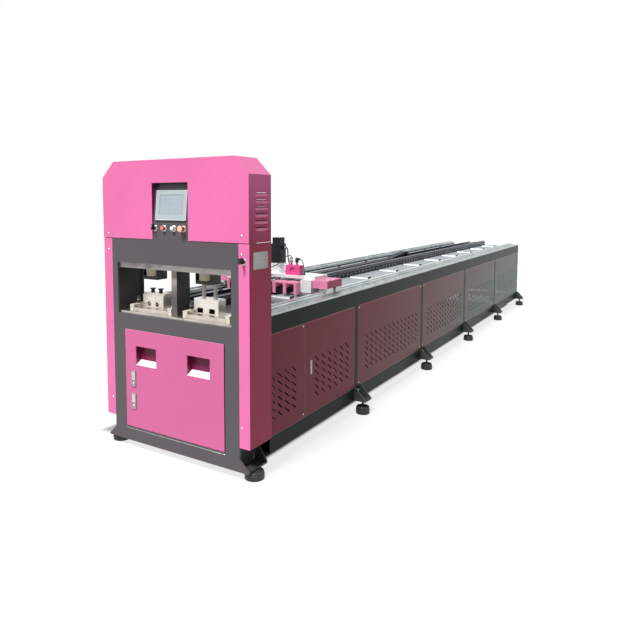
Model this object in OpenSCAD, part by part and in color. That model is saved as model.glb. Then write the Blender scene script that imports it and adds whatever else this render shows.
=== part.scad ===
// Pipe punching machine: a two-station hydraulic head at the front
// of a long feed bed with a servo-driven carriage that feeds the pipes.
// X runs across the machine, Y from the head to the far end, Z up.

/* [Overall] */
// Height to the top of the hood
head_h = 1700; // [1450:10:2050]
// Width of the head across its covers
head_w = 1070; // [980:10:1290]
// Depth of the head's frame and covers
head_d = 200; // [195:1:245]
// Width of the feed bed over its rails
bed_w = 1044; // [1000:2:1260]
// Length from the head's front to the bed's far end
bed_l = 6550; // [5000:10:8000]

/* [Head] */
// Height of the work table's top
table_h = 825; // [680:5:1000]
// Clear height between the table and the top beam
throat_h = 258; // [215:1:310]
// Thickness of the frame's front and back plates
plate_t = 12; // [8:1:15]
// Thickness of the frame's side plates
side_t = 20; // [12:1:30]
// Thickness of the table and of the top beam
beam_t = 50; // [40:1:60]
// Thickness of the sheet covers
sheet_t = 3; // [2:0.5:4]
// Size of the hood's corner chamfers
hood_chamfer = 93; // [60:1:112]

/* [Stations] */
// Centre of the left punching station
left_x = -240; // [-250:1:-235]
// Centre of the right punching station
right_x = 165; // [160:1:175]
// Distance between the two pipes of the left station
left_pitch = 64; // [54:1:70]
// Distance between the two pipes of the right station
right_pitch = 84; // [72:1:88]
// Diameter of the round pipe that the left die takes
round_pipe = 28; // [20:1:32]
// Width of the flat pipes that the right die takes
flat_pipe_w = 38; // [30:1:42]
// Height of the flat pipes that the right die takes
flat_pipe_h = 25; // [20:1:36]
// Diameter of the hydraulic rams' rods
rod_d = 66; // [50:1:76]
// Diameter of the punches
punch_d = 22; // [14:1:24]

/* [Bed] */
// Height of the bed's side frame members
rail_h = 95; // [78:1:114]
// Distance from one post to the next
post_pitch = 1310; // [1090:10:1310]
// Width of a post as seen from the side
post_w = 50; // [40:1:60]
// Distance from one support roller to the next
roller_pitch = 600; // [500:10:720]
// Diameter of the support rollers
roller_d = 44; // [36:1:50]
// Width of the linear guide rails
guide_w = 25; // [20:1:30]

/* [Feed] */
// Module of the rack and its pinion
gear_m = 3; // [3:1:4]
// Teeth on the pinion
pinion_teeth = 24; // [20:1:26]
// Gap from the head's front to the front of the carriage's arms
carriage_y = 968; // [940:1:1160]
// Side of the servo motor's square body
motor_s = 80; // [66:1:96]

/* [Hidden] */

$fn = 40;
fit = 0.3;
knob_reach = 42;

// Levels and stations of the head
base_z = 50;
deck_h = table_h + 35;
strip_t = 10;
beam_z = table_h + throat_h;
window_top = beam_z + 32;
hood_z = window_top + 142;
hood_h = head_h - hood_z;
front_w = head_w - 138;
win_l = -(head_w / 2 - 111);
win_r = head_w / 2 - 118;
ram_y = head_d / 2 + 20;
die_y = [head_d / 2, head_d / 2 + 66];
die_z = table_h + 20;
pipe_rest = deck_h - 10;
round_z = pipe_rest + round_pipe / 2;
flat_z = pipe_rest + flat_pipe_h / 2;
column_x = -20;
y_shift = -(bed_l - knob_reach) / 2;
stations = [left_x, right_x];

// Door in the front plate
door_l = -(head_w / 2 - 163);
door_r = head_w / 2 - 168;
door_z = [138, table_h - 104];
door_gap = 3;
hinge_gap = 5.5;
hinge_in = 5;

// Tooling of the two stations
block_half = 56;
block_y = [ram_y - 42, ram_y + 43];
block_z = [beam_z - 70, beam_z - 3];
flange_d = 100;
flange_h = 40;
flange_z = beam_z - 49;
flange_fit = 0.5;
bore_fit = 0.1;
slip_fit = 1;
punch_y = die_y[0] + 33;
die_h = 84;
die_lip = 10;
left_die_half = left_pitch / 2 + 50;
right_die_half = right_pitch / 2 + 45;
head_gap = 20;
base_w = 277;
base_y = [42, head_d - plate_t - 2];
left_base_x = [left_x - 105, left_x - 105 + base_w];
right_base_x = [right_x - 94, right_x - 94 + base_w];
strap_t = 16;
strap_w = 32;
strap_l = 108;
foot_w = 24;
foot_l = 30;
clamp_gap = 2;
stud_d = 12;
stud_y = base_y[0] + 58;

// Control panel in the hood's window
window_x = [-134, 132];
window_z = [hood_z - 1, hood_z + 0.71 * hood_h];
hmi_w = 228;
hmi_h = 0.375 * hood_h;
hmi_z = hood_z + 0.243 * hood_h;
hmi_tilt = 6;
hmi_t = 36;
panel_top = hood_z + 0.2 * hood_h;
control_z = hood_z + 0.145 * hood_h;
control_x = [-114, -46, 26, 97];
side_knob = [head_w / 2 - 36, hood_z - 95];
switch_hole = 16.8;
bezel_d = 31;
button_d = 25;

// Levels and lines of the bed
half_bed = bed_w / 2;
top_rail_w = 122;
rail_z = deck_h - strip_t - rail_h;
low_rail = [93, 180];
low_rail_w = 60;
panel_t = 2.5;
slot_l = 60;
slot_w = 8;
slot_tilt = 36;
slot_pitch = 80;
slot_rows = 6;
slot_rise = 43.8;
slot_low = low_rail[1] + 108;
first_post = 1250;
post_edges = [head_d, for (k = [0:3]) first_post + k * post_pitch, bed_l - 60];
roller_ys = [for (k = [0:9]) 840 + k * roller_pitch];
member_ys = [for (k = [0:9]) 540 + k * roller_pitch];
member_z = [deck_h - 83, deck_h - 23];
guide_x = half_bed - 97;
guide_h = 25;
roller_z = pipe_rest - roller_d / 2;
shaft_d = 12;
tray_edge = half_bed - top_rail_w - 8;
bed_reach = half_bed - top_rail_w + 25;
beam_half = 65;
beam_top = deck_h + 20;
trough_x = [-158, -beam_half - 1];
rack_x = beam_half - 30;
pitch_r = gear_m * pinion_teeth / 2;
pinion_x = rack_x - pitch_r;

// Feet
bed_foot_x = half_bed + 46;
head_foot_x = head_w / 2 - 30;
head_foot_y = 80;
pad_d = 90;

// Carriage
arm_z = deck_h + 40;
arm_t = 50;
arm_y = [carriage_y, carriage_y + 204];
bridge_z = arm_z + arm_t;
bridge_t = 20;
motor_y = carriage_y + 122;
chuck_y = [carriage_y - 68, carriage_y + 12];
chuck_z = [deck_h - 4, deck_h + 74];
rib_right = 30;
rib_left = 22;
riser_out = half_bed - 177;
riser_right = [right_x + right_pitch + rib_right / 2, riser_out];
riser_left = [-riser_out, left_x - left_pitch - rib_left / 2];
riser_y = [arm_y[0] - 20, arm_y[1] + 4];
bridge_y = [arm_y[0] + 30, arm_y[1] + 4];
chuck_roof = 12;
air_w = 114;
air_h = 66;
air_y = [arm_y[0] + 40, arm_y[0] + 86];
jaw_t = 5;
jaw_bar_z = [chuck_z[0] + 34, chuck_z[0] + 46];
jaw_rod_d = 10;
jaw_rod_y = chuck_y[1] + 8;

// A box from its low to its high edge on each axis
module span(x, y, z) {
    translate([x[0], y[0], z[0]])
        cube([x[1] - x[0], y[1] - y[0], z[1] - z[0]]);
}

// The same piece on both sides of the machine
module both_sides() {
    children();
    mirror([1, 0, 0]) children();
}

// Puts the machine's origin at the middle of its footprint
module machine() {
    translate([0, y_shift, 0]) children();
}

// Stands a flat outline, drawn as X and height, up as a plate facing front
module upright(y, t) {
    translate([0, y + t, 0])
        rotate([90, 0, 0])
            linear_extrude(t) children();
}

// Turns a flat outline, drawn as Y and height, into a plate facing sideways
module sideways(x, t) {
    translate([x, 0, 0])
        rotate([90, 0, 90])
            linear_extrude(t) children();
}

module rect(x, y) {
    translate([x[0], y[0]]) square([x[1] - x[0], y[1] - y[0]]);
}

// ---------- head frame ----------

module front_plate() {
    pin_x = door_r - hinge_in;
    flare = half_bed;
    color([0.40, 0.39, 0.41]) machine() difference() {
        upright(0, plate_t) difference() {
            polygon([[-flare, base_z], [flare, base_z], [flare, base_z + 9],
                [front_w / 2, base_z + 66], [front_w / 2, hood_z + 25],
                [hmi_w / 2 + 16, hood_z + 25], [hmi_w / 2 + 16, panel_top],
                [-hmi_w / 2 - 16, panel_top], [-hmi_w / 2 - 16, hood_z + 25],
                [-front_w / 2, hood_z + 25], [-front_w / 2, base_z + 66],
                [-flare, base_z + 9]]);
            rect([win_l, win_r], [table_h - 12, window_top]);
            rect([door_l - door_gap, door_r + hinge_gap], [door_z[0] - door_gap, door_z[1] + door_gap]);
        }
        for (z = [door_z[0] - 12, door_z[1]])
            translate([pin_x, plate_t / 2, z])
                cylinder(d = 6.8, h = 12);
        for (x = control_x)
            translate([x, -1, control_z])
                rotate([-90, 0, 0])
                    cylinder(d = switch_hole, h = plate_t + 2);
    }
}

module side_plates() {
    outline = [[plate_t, base_z + 12], [head_d - plate_t, base_z + 12],
        [head_d - plate_t, head_h - 50], [plate_t + 40, head_h - 50],
        [plate_t + 40, hood_z + 45], [plate_t, hood_z + 25]];
    color([0.24, 0.26, 0.26]) machine() {
        sideways(win_l - side_t, side_t) polygon(outline);
        sideways(win_r, side_t) polygon(outline);
    }
}

module back_plate() {
    color([0.24, 0.26, 0.26]) machine()
        upright(head_d - plate_t, plate_t) difference() {
            union() {
                rect([win_l - side_t, win_r + side_t], [base_z + 12, head_h - 60]);
                rect([-bed_reach, bed_reach], [low_rail[0], deck_h + guide_h]);
            }
            rect([win_l + 10, win_r - 10], [table_h + 2, beam_z]);
        }
}

module top_beam() {
    color([0.80, 0.79, 0.74]) machine() difference() {
        span([win_l, win_r], [plate_t, head_d - plate_t], [beam_z, beam_z + beam_t]);
        for (x = stations)
            translate([x, ram_y, beam_z - 1])
                cylinder(d = rod_d + bore_fit, h = beam_t + 2);
    }
}

module table_plate() {
    color([0.80, 0.79, 0.74]) machine() difference() {
        span([win_l, win_r], [plate_t, head_d - plate_t], [table_h - beam_t, table_h]);
        for (s = [[left_x, left_pitch], [right_x, right_pitch]], side = [-1, 1])
            translate([s[0] + side * s[1] / 2, punch_y, table_h - beam_t - 1])
                cylinder(d = punch_d + 14, h = beam_t + 2);
    }
}

module centre_column() {
    color([0.30, 0.30, 0.30]) machine()
        span([column_x - 20, column_x + 20], [45, 155], [table_h, beam_z]);
}

module base_frame() {
    color([0.24, 0.26, 0.26]) machine() {
        span([win_l - side_t, win_r + side_t], [plate_t, head_d], [base_z, base_z + 12]);
        both_sides() {
            span([win_r + side_t + 8, half_bed], [plate_t, head_d - 36], [base_z, base_z + 12]);
            upright(head_d - 36, 12)
                polygon([[win_r + side_t + 8, base_z], [half_bed, base_z], [half_bed, base_z + 16],
                    [win_r + side_t + 8, base_z + 130]]);
        }
    }
}

// ---------- covers ----------

module hood_outline(inset) {
    w = head_w / 2 - inset;
    c = hood_chamfer - inset * 0.4;
    polygon([[-w, hood_z], [w, hood_z], [w, head_h - inset - c], [w - c, head_h - inset],
        [-w + c, head_h - inset], [-w, head_h - inset - c]]);
}

module hood() {
    slot_pitch = 0.081 * hood_h;
    color([0.99, 0.43, 0.74]) machine() difference() {
        upright(-sheet_t, head_d) hood_outline(0);
        upright(0, head_d) difference() {
            hood_outline(sheet_t);
            rect([-head_w, head_w], [0, hood_z - 1]);
        }
        translate([0, 0, -1]) upright(0, head_d)
            rect([-head_w / 2 + sheet_t, head_w / 2 - sheet_t], [hood_z, hood_z + 20]);
        span(window_x, [-sheet_t - 1, 1], window_z);
        for (side = [-1, 1], k = [0:5])
            span([side * head_w / 2 - 10, side * head_w / 2 + 10], [62, 158],
                [hood_z + 0.16 * hood_h + k * slot_pitch, hood_z + 0.16 * hood_h + k * slot_pitch + 7]);
    }
}

module side_cover() {
    z = [183, hood_z - 2];
    edge = front_w / 2 + 0.5;
    difference() {
        span([edge, head_w / 2], [0, head_d - 1], z);
        span([edge - 1, head_w / 2 - sheet_t], [sheet_t, head_d], [z[0] - 1, z[1] + 1]);
    }
}

module side_covers() {
    color([0.93, 0.40, 0.68]) machine() {
        difference() {
            side_cover();
            translate([side_knob[0], -1, side_knob[1]]) rotate([-90, 0, 0]) cylinder(d = switch_hole, h = sheet_t + 2);
        }
        mirror([1, 0, 0]) side_cover();
    }
}

// ---------- controls ----------

module hmi_place() {
    translate([0, 0, hmi_z]) rotate([-hmi_tilt, 0, 0]) children();
}

// Depth of the niche's back at a height, following the panel's tilt
function niche_y(z) = 6 / cos(hmi_tilt) + (z - hmi_z) * tan(hmi_tilt);

module hmi_panel() {
    niche_z = [panel_top + fit, window_z[1] + sheet_t];
    niche_x = [window_x[0] - sheet_t, window_x[1] + sheet_t];
    inner_top = window_z[1];
    color([0.62, 0.66, 0.68]) machine() hmi_place() difference() {
        union() {
            span([-hmi_w / 2, hmi_w / 2], [0, 6], [0, hmi_h]);
            span([-hmi_w / 2 + 8, hmi_w / 2 - 8], [6, hmi_t], [6, hmi_h - 6]);
        }
        span([-hmi_w / 2 + 26, hmi_w / 2 - 26], [-1, 2], [0.2 * hmi_h, 0.86 * hmi_h]);
    }
    color([0.40, 0.39, 0.41]) machine() difference() {
        sideways(niche_x[0], niche_x[1] - niche_x[0])
            polygon([[0, niche_z[0]], [niche_y(niche_z[0]) + sheet_t, niche_z[0]],
                [niche_y(niche_z[1]) + sheet_t, niche_z[1]], [0, niche_z[1]]]);
        sideways(window_x[0], window_x[1] - window_x[0])
            polygon([[-1, niche_z[0] - 1], [niche_y(niche_z[0] - 1), niche_z[0] - 1],
                [niche_y(inner_top), inner_top], [-1, inner_top]]);
    }
}

// A ring that holds a push button or switch
module bezel(x, z, d) {
    translate([x, 0, z]) rotate([90, 0, 0]) difference() {
        union() {
            cylinder(d = d, h = 5);
            translate([0, 0, -16]) cylinder(d = 16.6, h = 17);
        }
        translate([0, 0, -17]) cylinder(d = 11, h = 23);
    }
}

module switch_bezels() {
    color([0.85, 0.85, 0.84]) machine() {
        for (k = [0:3]) bezel(control_x[k], control_z, bezel_d);
        bezel(side_knob[0], side_knob[1], bezel_d);
    }
}

// A button on a 10 mm stem, running in its bezel
module button(x, d, h) {
    translate([x, 0, control_z]) rotate([90, 0, 0]) {
        translate([0, 0, -12]) cylinder(d = 10.4, h = 24);
        translate([0, 0, 12]) cylinder(d = d, h = h);
    }
}

module start_button() {
    color([0.88, 0.86, 0.80]) machine() button(control_x[2], button_d, 6);
}

module stop_button() {
    color([0.80, 0.12, 0.10]) machine() button(control_x[1], button_d, 6);
}

module emergency_button() {
    color([0.82, 0.10, 0.10]) machine() {
        button(control_x[3], 22, 6);
        translate([control_x[3], -17, control_z]) rotate([90, 0, 0])
            rotate_extrude() polygon([[0, 0], [14, 0], [19, 4], [20, 9], [17, 14], [10, 16], [0, 16.5]]);
    }
}

// A lever on a turning boss
module lever_knob(x, z, reach) {
    translate([x, 0, z]) rotate([90, 0, 0]) {
        translate([0, 0, -12]) cylinder(d = 10.4, h = 18);
        translate([0, 0, 5 + fit]) cylinder(d = 23, h = 9);
        translate([-5, -9, 10]) cube([10, 30, reach - 10]);
    }
}

module selector_knob() {
    color([0.10, 0.10, 0.11]) machine() lever_knob(control_x[0], control_z, 30);
}

module side_selector_knob() {
    color([0.10, 0.10, 0.11]) machine() lever_knob(side_knob[0], side_knob[1], knob_reach);
}

// ---------- hydraulics and tooling ----------

module cylinders() {
    body_h = 0.62 * hood_h + 60;
    color([0.35, 0.36, 0.37]) machine() for (x = stations)
        translate([x, ram_y, beam_z + beam_t]) difference() {
            union() {
                translate([-66, -66, 0]) cube([132, 132, 26]);
                cylinder(d = 124, h = body_h);
                translate([0, 0, body_h]) cylinder(d = 96, h = 22);
                translate([0, 0, body_h - 50]) rotate([-90, 0, 0]) cylinder(d = 26, h = 0.36 * head_d - 8);
            }
            translate([0, 0, -1]) cylinder(d = rod_d + 0.1, h = 0.7 * body_h);
        }
}

// Rod with its flange, held in the open slot of a striking block
module ram(x) {
    color([0.86, 0.84, 0.74]) machine() translate([x, ram_y, 0]) {
        translate([0, 0, flange_z]) cylinder(d = flange_d, h = flange_h);
        translate([0, 0, flange_z + flange_h]) cylinder(d = rod_d, h = beam_t + 130 - flange_h);
    }
    color([0.10, 0.10, 0.10]) machine() difference() {
        span([x - block_half, x + block_half], block_y, block_z);
        translate([x, ram_y, flange_z]) {
            cylinder(r = flange_d / 2 + flange_fit, h = block_z[1]);
            span([-flange_d / 2 - flange_fit, flange_d / 2 + flange_fit], [-flange_d, 0], [0, block_z[1]]);
        }
    }
}

module ram_left() {
    ram(left_x);
}

module ram_right() {
    ram(right_x);
    color([0.85, 0.85, 0.83]) machine() for (side = [-1, 1])
        translate([right_x + side * right_pitch / 2, punch_y, die_z + die_h - 3])
            cylinder(d = punch_d, h = block_z[0] - die_z - die_h + 3);
}

// Base plate of one die, with the holes that let its slugs fall
module die_base(x, station, pitch) {
    difference() {
        span(x, base_y, [table_h, die_z]);
        for (side = [-1, 1])
            translate([station + side * pitch / 2, punch_y, table_h - 1])
                cylinder(d = punch_d + 8, h = die_z - table_h + 2);
    }
}

module die_bases() {
    color([0.86, 0.84, 0.76]) machine() {
        die_base(left_base_x, left_x, left_pitch);
        die_base(right_base_x, right_x, right_pitch);
    }
}

module die_left() {
    top = die_z + die_h;
    color([0.66, 0.64, 0.58]) machine() difference() {
        union() {
            span([left_x - left_die_half, left_x + left_die_half], die_y, [die_z, top - die_lip]);
            span([left_x - left_die_half, left_x + left_die_half], [die_y[0] + 12, die_y[1]],
                [top - die_lip - 1, top]);
        }
        for (side = [-1, 1]) {
            translate([left_x + side * left_pitch / 2, die_y[0] - 1, round_z])
                rotate([-90, 0, 0]) cylinder(d = round_pipe + slip_fit, h = die_y[1] - die_y[0] + 2);
            translate([left_x + side * left_pitch / 2, punch_y, die_z - 1])
                cylinder(d = punch_d + bore_fit, h = die_h + 2);
        }
        for (side = [-1, 1])
            translate([left_x + side * (left_die_half - 10), die_y[0] + 6, top - die_lip - 26])
                cylinder(d = 9, h = 30);
    }
}

// Spring-returned punches that stand in the left die
module punches_left() {
    foot = round_z + round_pipe / 2 + 5;
    head_z = die_z + die_h + head_gap;
    color([0.20, 0.20, 0.20]) machine() for (side = [-1, 1])
        translate([left_x + side * left_pitch / 2, punch_y, 0]) {
            translate([0, 0, foot]) cylinder(d = punch_d, h = head_z - foot);
            translate([0, 0, head_z]) cylinder(d = punch_d + 12, h = 6);
        }
}

module die_right() {
    color([0.66, 0.64, 0.58]) machine() difference() {
        span([right_x - right_die_half, right_x + right_die_half], die_y, [die_z, die_z + die_h]);
        for (side = [-1, 1]) {
            translate([right_x + side * right_pitch / 2, 0, flat_z])
                span([-flat_pipe_w / 2 - slip_fit, flat_pipe_w / 2 + slip_fit], [0, head_d],
                    [-flat_pipe_h / 2 - slip_fit, flat_pipe_h / 2 + slip_fit]);
            translate([right_x + side * right_pitch / 2, punch_y, die_z - 1])
                cylinder(d = punch_d + bore_fit, h = die_h + 2);
        }
        for (side = [-1, 1])
            translate([right_x + side * (right_die_half - 12), punch_y, die_z + die_h - 25])
                cylinder(d = 11, h = 30);
    }
}

// Strap on its foot that holds a base's edge down, with its stud and nut
module die_clamp() {
    edge = clamp_gap + foot_w;
    stud_x = edge - stud_d;
    difference() {
        union() {
            span([edge - strap_w, edge], [base_y[0], base_y[0] + strap_l], [die_z, die_z + strap_t]);
            span([clamp_gap, edge], [base_y[0], base_y[0] + foot_l], [table_h, die_z + 1]);
        }
        translate([stud_x, stud_y, table_h]) cylinder(d = stud_d + fit, h = beam_t * 2);
    }
    translate([stud_x, stud_y, table_h]) cylinder(d = stud_d, h = die_z - table_h + strap_t + 46);
    for (z = [die_z + strap_t, die_z + strap_t + 24])
        translate([stud_x, stud_y, z]) cylinder(d = stud_d + 10, h = 11, $fn = 6);
}

module die_clamps() {
    color([0.30, 0.30, 0.31]) machine() {
        for (x = [left_base_x[1], right_base_x[1]])
            translate([x, 0, 0]) die_clamp();
        for (x = [left_base_x[0], right_base_x[0]])
            translate([x, 0, 0]) mirror([1, 0, 0]) die_clamp();
    }
}

// Oil tank with its motor, pump and valve block, in the foot of the head
module hydraulic_unit() {
    z0 = base_z + 12;
    tank_top = z0 + 150;
    color([0.25, 0.27, 0.28]) machine() difference() {
        span([-300, 240], [50, 180], [z0, tank_top]);
        span([-294, 234], [56, 174], [z0 + 6, tank_top - 6]);
    }
    color([0.40, 0.42, 0.45]) machine() {
        translate([-170, 115, tank_top]) cylinder(d = 110, h = 20);
        translate([-170, 115, tank_top + 20]) {
            cylinder(d = 120, h = 150);
            for (a = [0:20:340]) rotate(a) translate([58, -1.5, 5]) cube([6, 3, 135]);
        }
        span([60, 180], [80, 150], [tank_top, tank_top + 70]);
        for (x = [90, 150]) translate([x, 115, tank_top + 70]) cylinder(d = 34, h = 60);
    }
}

// ---------- door ----------

// Recessed grip in the door: straight back, sloping floor
module pocket(x0, x1, z) {
    difference() {
        translate([0, 0, z]) sideways(x0 - 2, x1 - x0 + 4)
            polygon([[0, -2], [3, -2], [40, 23], [40, 114], [0, 114]]);
        translate([0, 0, z]) sideways(x0, x1 - x0)
            polygon([[-2, -1.3], [38, 25], [38, 112], [-2, 112]]);
    }
}

module front_door() {
    pin_x = door_r - hinge_in;
    grips = [[door_l + 86, door_l + 248], [door_r - 258, door_r - 96]];
    grip_z = door_z[1] - 206;
    color([0.89, 0.43, 0.63]) machine() {
        difference() {
            union() {
                span([door_l, door_r], [-1, 1], door_z);
                span([door_l, door_r - 22], [1, 20], [door_z[0], door_z[0] + 2]);
                span([door_l, door_r - 22], [1, 20], [door_z[1] - 2, door_z[1]]);
                span([door_l, door_l + 2], [1, 20], door_z);
                for (z = [door_z[0] + 8, door_z[1] - 20])
                    span([door_r - 22, door_r], [1, plate_t - 2], [z, z + 12]);
            }
            for (g = grips)
                span(g, [-3, 3], [grip_z, grip_z + 112]);
        }
        for (g = grips) pocket(g[0], g[1], grip_z);
        for (z = [door_z[0] - 10, door_z[1] - 10])
            translate([pin_x, plate_t / 2, z]) cylinder(d = 6, h = 20);
    }
    color([0.60, 0.60, 0.61]) machine() for (z = [door_z[1] - 340, door_z[1] - 474])
        difference() {
            span([door_l + 48, door_l + 84], [-6, -1], [z, z + 98]);
            translate([door_l + 66, -8, z + 22]) rotate([-90, 0, 0]) cylinder(d = 15, h = 4);
        }
}

// ---------- feed bed ----------

module bed_rails() {
    color([0.22, 0.26, 0.24]) machine() both_sides() {
        difference() {
            span([half_bed - top_rail_w, half_bed], [head_d, bed_l], [rail_z, deck_h - strip_t]);
            span([half_bed - top_rail_w + 5, half_bed - 5], [head_d - 1, bed_l - 5],
                [rail_z + 5, deck_h - strip_t - 5]);
        }
        difference() {
            span([half_bed - low_rail_w, half_bed], [head_d, bed_l], low_rail);
            span([half_bed - low_rail_w + 4, half_bed - 4], [head_d - 1, bed_l - 4],
                [low_rail[0] + 4, low_rail[1] - 4]);
        }
    }
}

module bed_posts() {
    color([0.22, 0.26, 0.24]) machine() both_sides()
        for (y = post_edges)
            span([half_bed - low_rail_w, y == head_d ? half_bed - panel_t - 1 : half_bed],
                [y, y + post_w], [low_rail[1], rail_z]);
}

module cross_members() {
    inner = half_bed - top_rail_w;
    color([0.22, 0.26, 0.24]) machine() {
        for (y = [each member_ys, bed_l - 45])
            span([-inner, inner], [y - 20, y + 20], member_z);
        for (y = post_edges)
            span([-half_bed + low_rail_w, half_bed - low_rail_w], [y, y + post_w],
                [low_rail[0], low_rail[0] + 50]);
    }
}

// Rows of slanted vent slots, from one panel's first column to its last
module slot_field(first, last) {
    columns = round((last - first) / slot_pitch);
    for (c = [0:columns], r = [0:slot_rows - 1])
        translate([first + c * (last - first) / columns, slot_low + r * slot_rise])
            rotate(-slot_tilt) square([slot_l, slot_w], center = true);
}

// Each side's panels: two short ones beside the head, then one a bay
panel_edges = [[head_d, 570], [572, first_post],
    for (k = [0:3]) [post_edges[k + 1] + post_w, post_edges[k + 2]]];

module bed_panels() {
    for (e = panel_edges)
        sideways(half_bed - panel_t - 1, panel_t) difference() {
            rect(e, [low_rail[1], rail_z]);
            slot_field(e[0] == head_d ? e[0] + 30 : e[0] + 149, e[1] - 118);
        }
}

module bed_panels_right() {
    color([0.45, 0.27, 0.33]) machine() bed_panels();
}

module bed_panels_left() {
    color([0.45, 0.27, 0.33]) machine() mirror([1, 0, 0]) bed_panels();
}

module bed_end_panel() {
    color([0.45, 0.27, 0.33]) machine()
        span([-half_bed + low_rail_w, half_bed - low_rail_w], [bed_l - 15, bed_l - 12],
            [low_rail[1], rail_z]);
}

// ---------- feet ----------

module gusset(y, t, h, reach, z) {
    upright(y, t) polygon([[half_bed, z], [half_bed + reach, z], [half_bed + reach, z + 12],
        [half_bed + 12, z + h], [half_bed, z + h]]);
}

module foot_brackets() {
    color([0.13, 0.15, 0.14]) machine() both_sides()
        for (k = [1:5]) {
            y = min(post_edges[k], bed_l - 92);
            difference() {
                span([half_bed, half_bed + 90], [y - 8, y + 88], [low_rail[0], low_rail[0] + 10]);
                translate([bed_foot_x, y + 40, low_rail[0] - 1]) cylinder(d = 17.4, h = 12);
            }
            gusset(y - 8, 8, 92, 88, low_rail[0]);
            gusset(y + 80, 8, 92, 88, low_rail[0]);
        }
}

// Swivel pad, stud and lock nuts of one levelling foot
module levelling_foot(x, y, z) {
    translate([x, y, 0]) {
        rotate_extrude() polygon([[0, 0], [pad_d / 2 - 2, 0], [pad_d / 2, 2], [pad_d / 2, 22],
            [pad_d / 2 - 4, 26], [15, 34], [12, 40], [0, 40]]);
        translate([0, 0, 38]) cylinder(d = 16, h = z - 38 + 34);
        translate([0, 0, z - 10]) cylinder(d = 27, h = 10, $fn = 6);
        translate([0, 0, z + 10]) cylinder(d = 27, h = 13, $fn = 6);
    }
}

module levelling_feet() {
    color([0.12, 0.13, 0.13]) machine() both_sides() {
        for (k = [1:5])
            levelling_foot(bed_foot_x, min(post_edges[k], bed_l - 92) + 40, low_rail[0]);
        translate([head_foot_x, head_foot_y, 0]) {
            rotate_extrude() polygon([[0, 0], [pad_d / 2 - 2, 0], [pad_d / 2, 2], [pad_d / 2, 24],
                [pad_d / 2 - 4, 30], [15, 38], [12, base_z], [0, base_z]]);
        }
    }
}

// ---------- guides, rack and rollers ----------

module mount_strips() {
    color([0.78, 0.80, 0.80]) machine() both_sides()
        span([tray_edge, half_bed - 2], [head_d, bed_l], [deck_h - strip_t, deck_h]);
}

// Section of a ball guide rail, with a groove down each flank
module guide_section() {
    w = guide_w / 2;
    groove = 3;
    polygon([[-w, 0], [w, 0], [w, 8], [w - groove, 12], [w - groove, 16], [w, 20], [w, guide_h - 1],
        [w - 1, guide_h], [-w + 1, guide_h], [-w, guide_h - 1], [-w, 20], [-w + groove, 16],
        [-w + groove, 12], [-w, 8]]);
}

module guide_rails() {
    color([0.82, 0.84, 0.84]) machine() both_sides()
        translate([guide_x, bed_l - 10, deck_h]) rotate([90, 0, 0])
            linear_extrude(bed_l - 10 - head_d) guide_section();
}

module centre_beam() {
    base = member_z[1];
    color([0.24, 0.26, 0.29]) machine() {
        span([-beam_half, beam_half], [head_d, bed_l - 30], [base, beam_top]);
        difference() {
            span(trough_x, [head_d, bed_l - 30], [base, beam_top + 5]);
            span([trough_x[0] + 3, trough_x[1] - 3], [head_d - 1, bed_l], [base + 3, beam_top + 6]);
        }
    }
}

// Straight rack: one trapezoid tooth for each pitch of the module
module rack_section(l) {
    p = PI * gear_m;
    n = floor(l / p) - 1;
    foot = gear_m * 1.25;
    teeth = [for (k = [0:n - 1], c = [[foot, -0.37], [-gear_m, -0.135], [-gear_m, 0.135], [foot, 0.37]])
        [c[0], (k + 0.5 + c[1]) * p]];
    polygon([[foot, 0], each teeth, [foot, l], [30, l], [30, 0]]);
}

module rack() {
    color([0.80, 0.82, 0.82]) machine()
        translate([rack_x, rack_y, beam_top]) linear_extrude(24) rack_section(bed_l - 60 - rack_y);
}

// The rack starts where a tooth gap faces the pinion at rest
rack_y = motor_y - PI * gear_m * floor((motor_y - head_d - 40) / (PI * gear_m));

// Cable chain: its upper run lies on the lower one and rises to the loop
chain_w = 66;
chain_h = 23;
chain_r = 45;
chain_x = (trough_x[0] + trough_x[1]) / 2;
chain_y = [arm_y[1] + 60, 0.36 * bed_l + 1400];
chain_rise = 420;
link_l = 46;

// Side view of one edge of the chain: along, round the loop and back
function chain_edge(r, start, low, meet) = concat([[start, low]],
    [for (a = [-90:10:90]) [chain_y[1] + r * cos(a), chain_r + r * sin(a)]],
    [[chain_y[1] - chain_rise, meet], [start, meet]]);

module drag_chain() {
    color([0.10, 0.11, 0.12]) machine() translate([0, 0, member_z[1] + 3])
        sideways(chain_x - chain_w / 2, chain_w) difference() {
            polygon(chain_edge(chain_r, chain_y[0], 0, 2 * chain_h));
            polygon(chain_edge(chain_r - chain_h, chain_y[1] - chain_rise + 1, chain_h, chain_h + 0.5));
            for (y = [chain_y[0] + link_l:link_l:chain_y[1] - chain_rise - link_l])
                rect([y, y + 3], [2 * chain_h - 4, 2 * chain_h + 1]);
        }
}

// Each station's rollers, and the ears that stand at both their ends
left_span = [left_x - 72, left_x + 62];
right_span = [right_x - 68, right_x + 92];
ear_t = 6;
ear_gap = 6;
ear_out = ear_gap + ear_t;

module tray(x0, x1, rollers) {
    translate([0, 0, member_z[1]]) linear_extrude(3) difference() {
        rect([x0, x1], [head_d, bed_l - 30]);
        for (y = roller_ys)
            rect([rollers[0] - ear_out, rollers[1] + ear_out], [y - roller_d / 2 - 4, y + roller_d / 2 + 4]);
    }
}

// Ear that carries one end of a roller's shaft
module roller_ear(x, y) {
    difference() {
        span([x, x + ear_t], [y - 20, y + 20], [roller_z - 16, roller_z + 21]);
        translate([x - 1, y, roller_z]) rotate([0, 90, 0]) cylinder(d = shaft_d + 0.1, h = ear_t + 2);
    }
}

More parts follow.
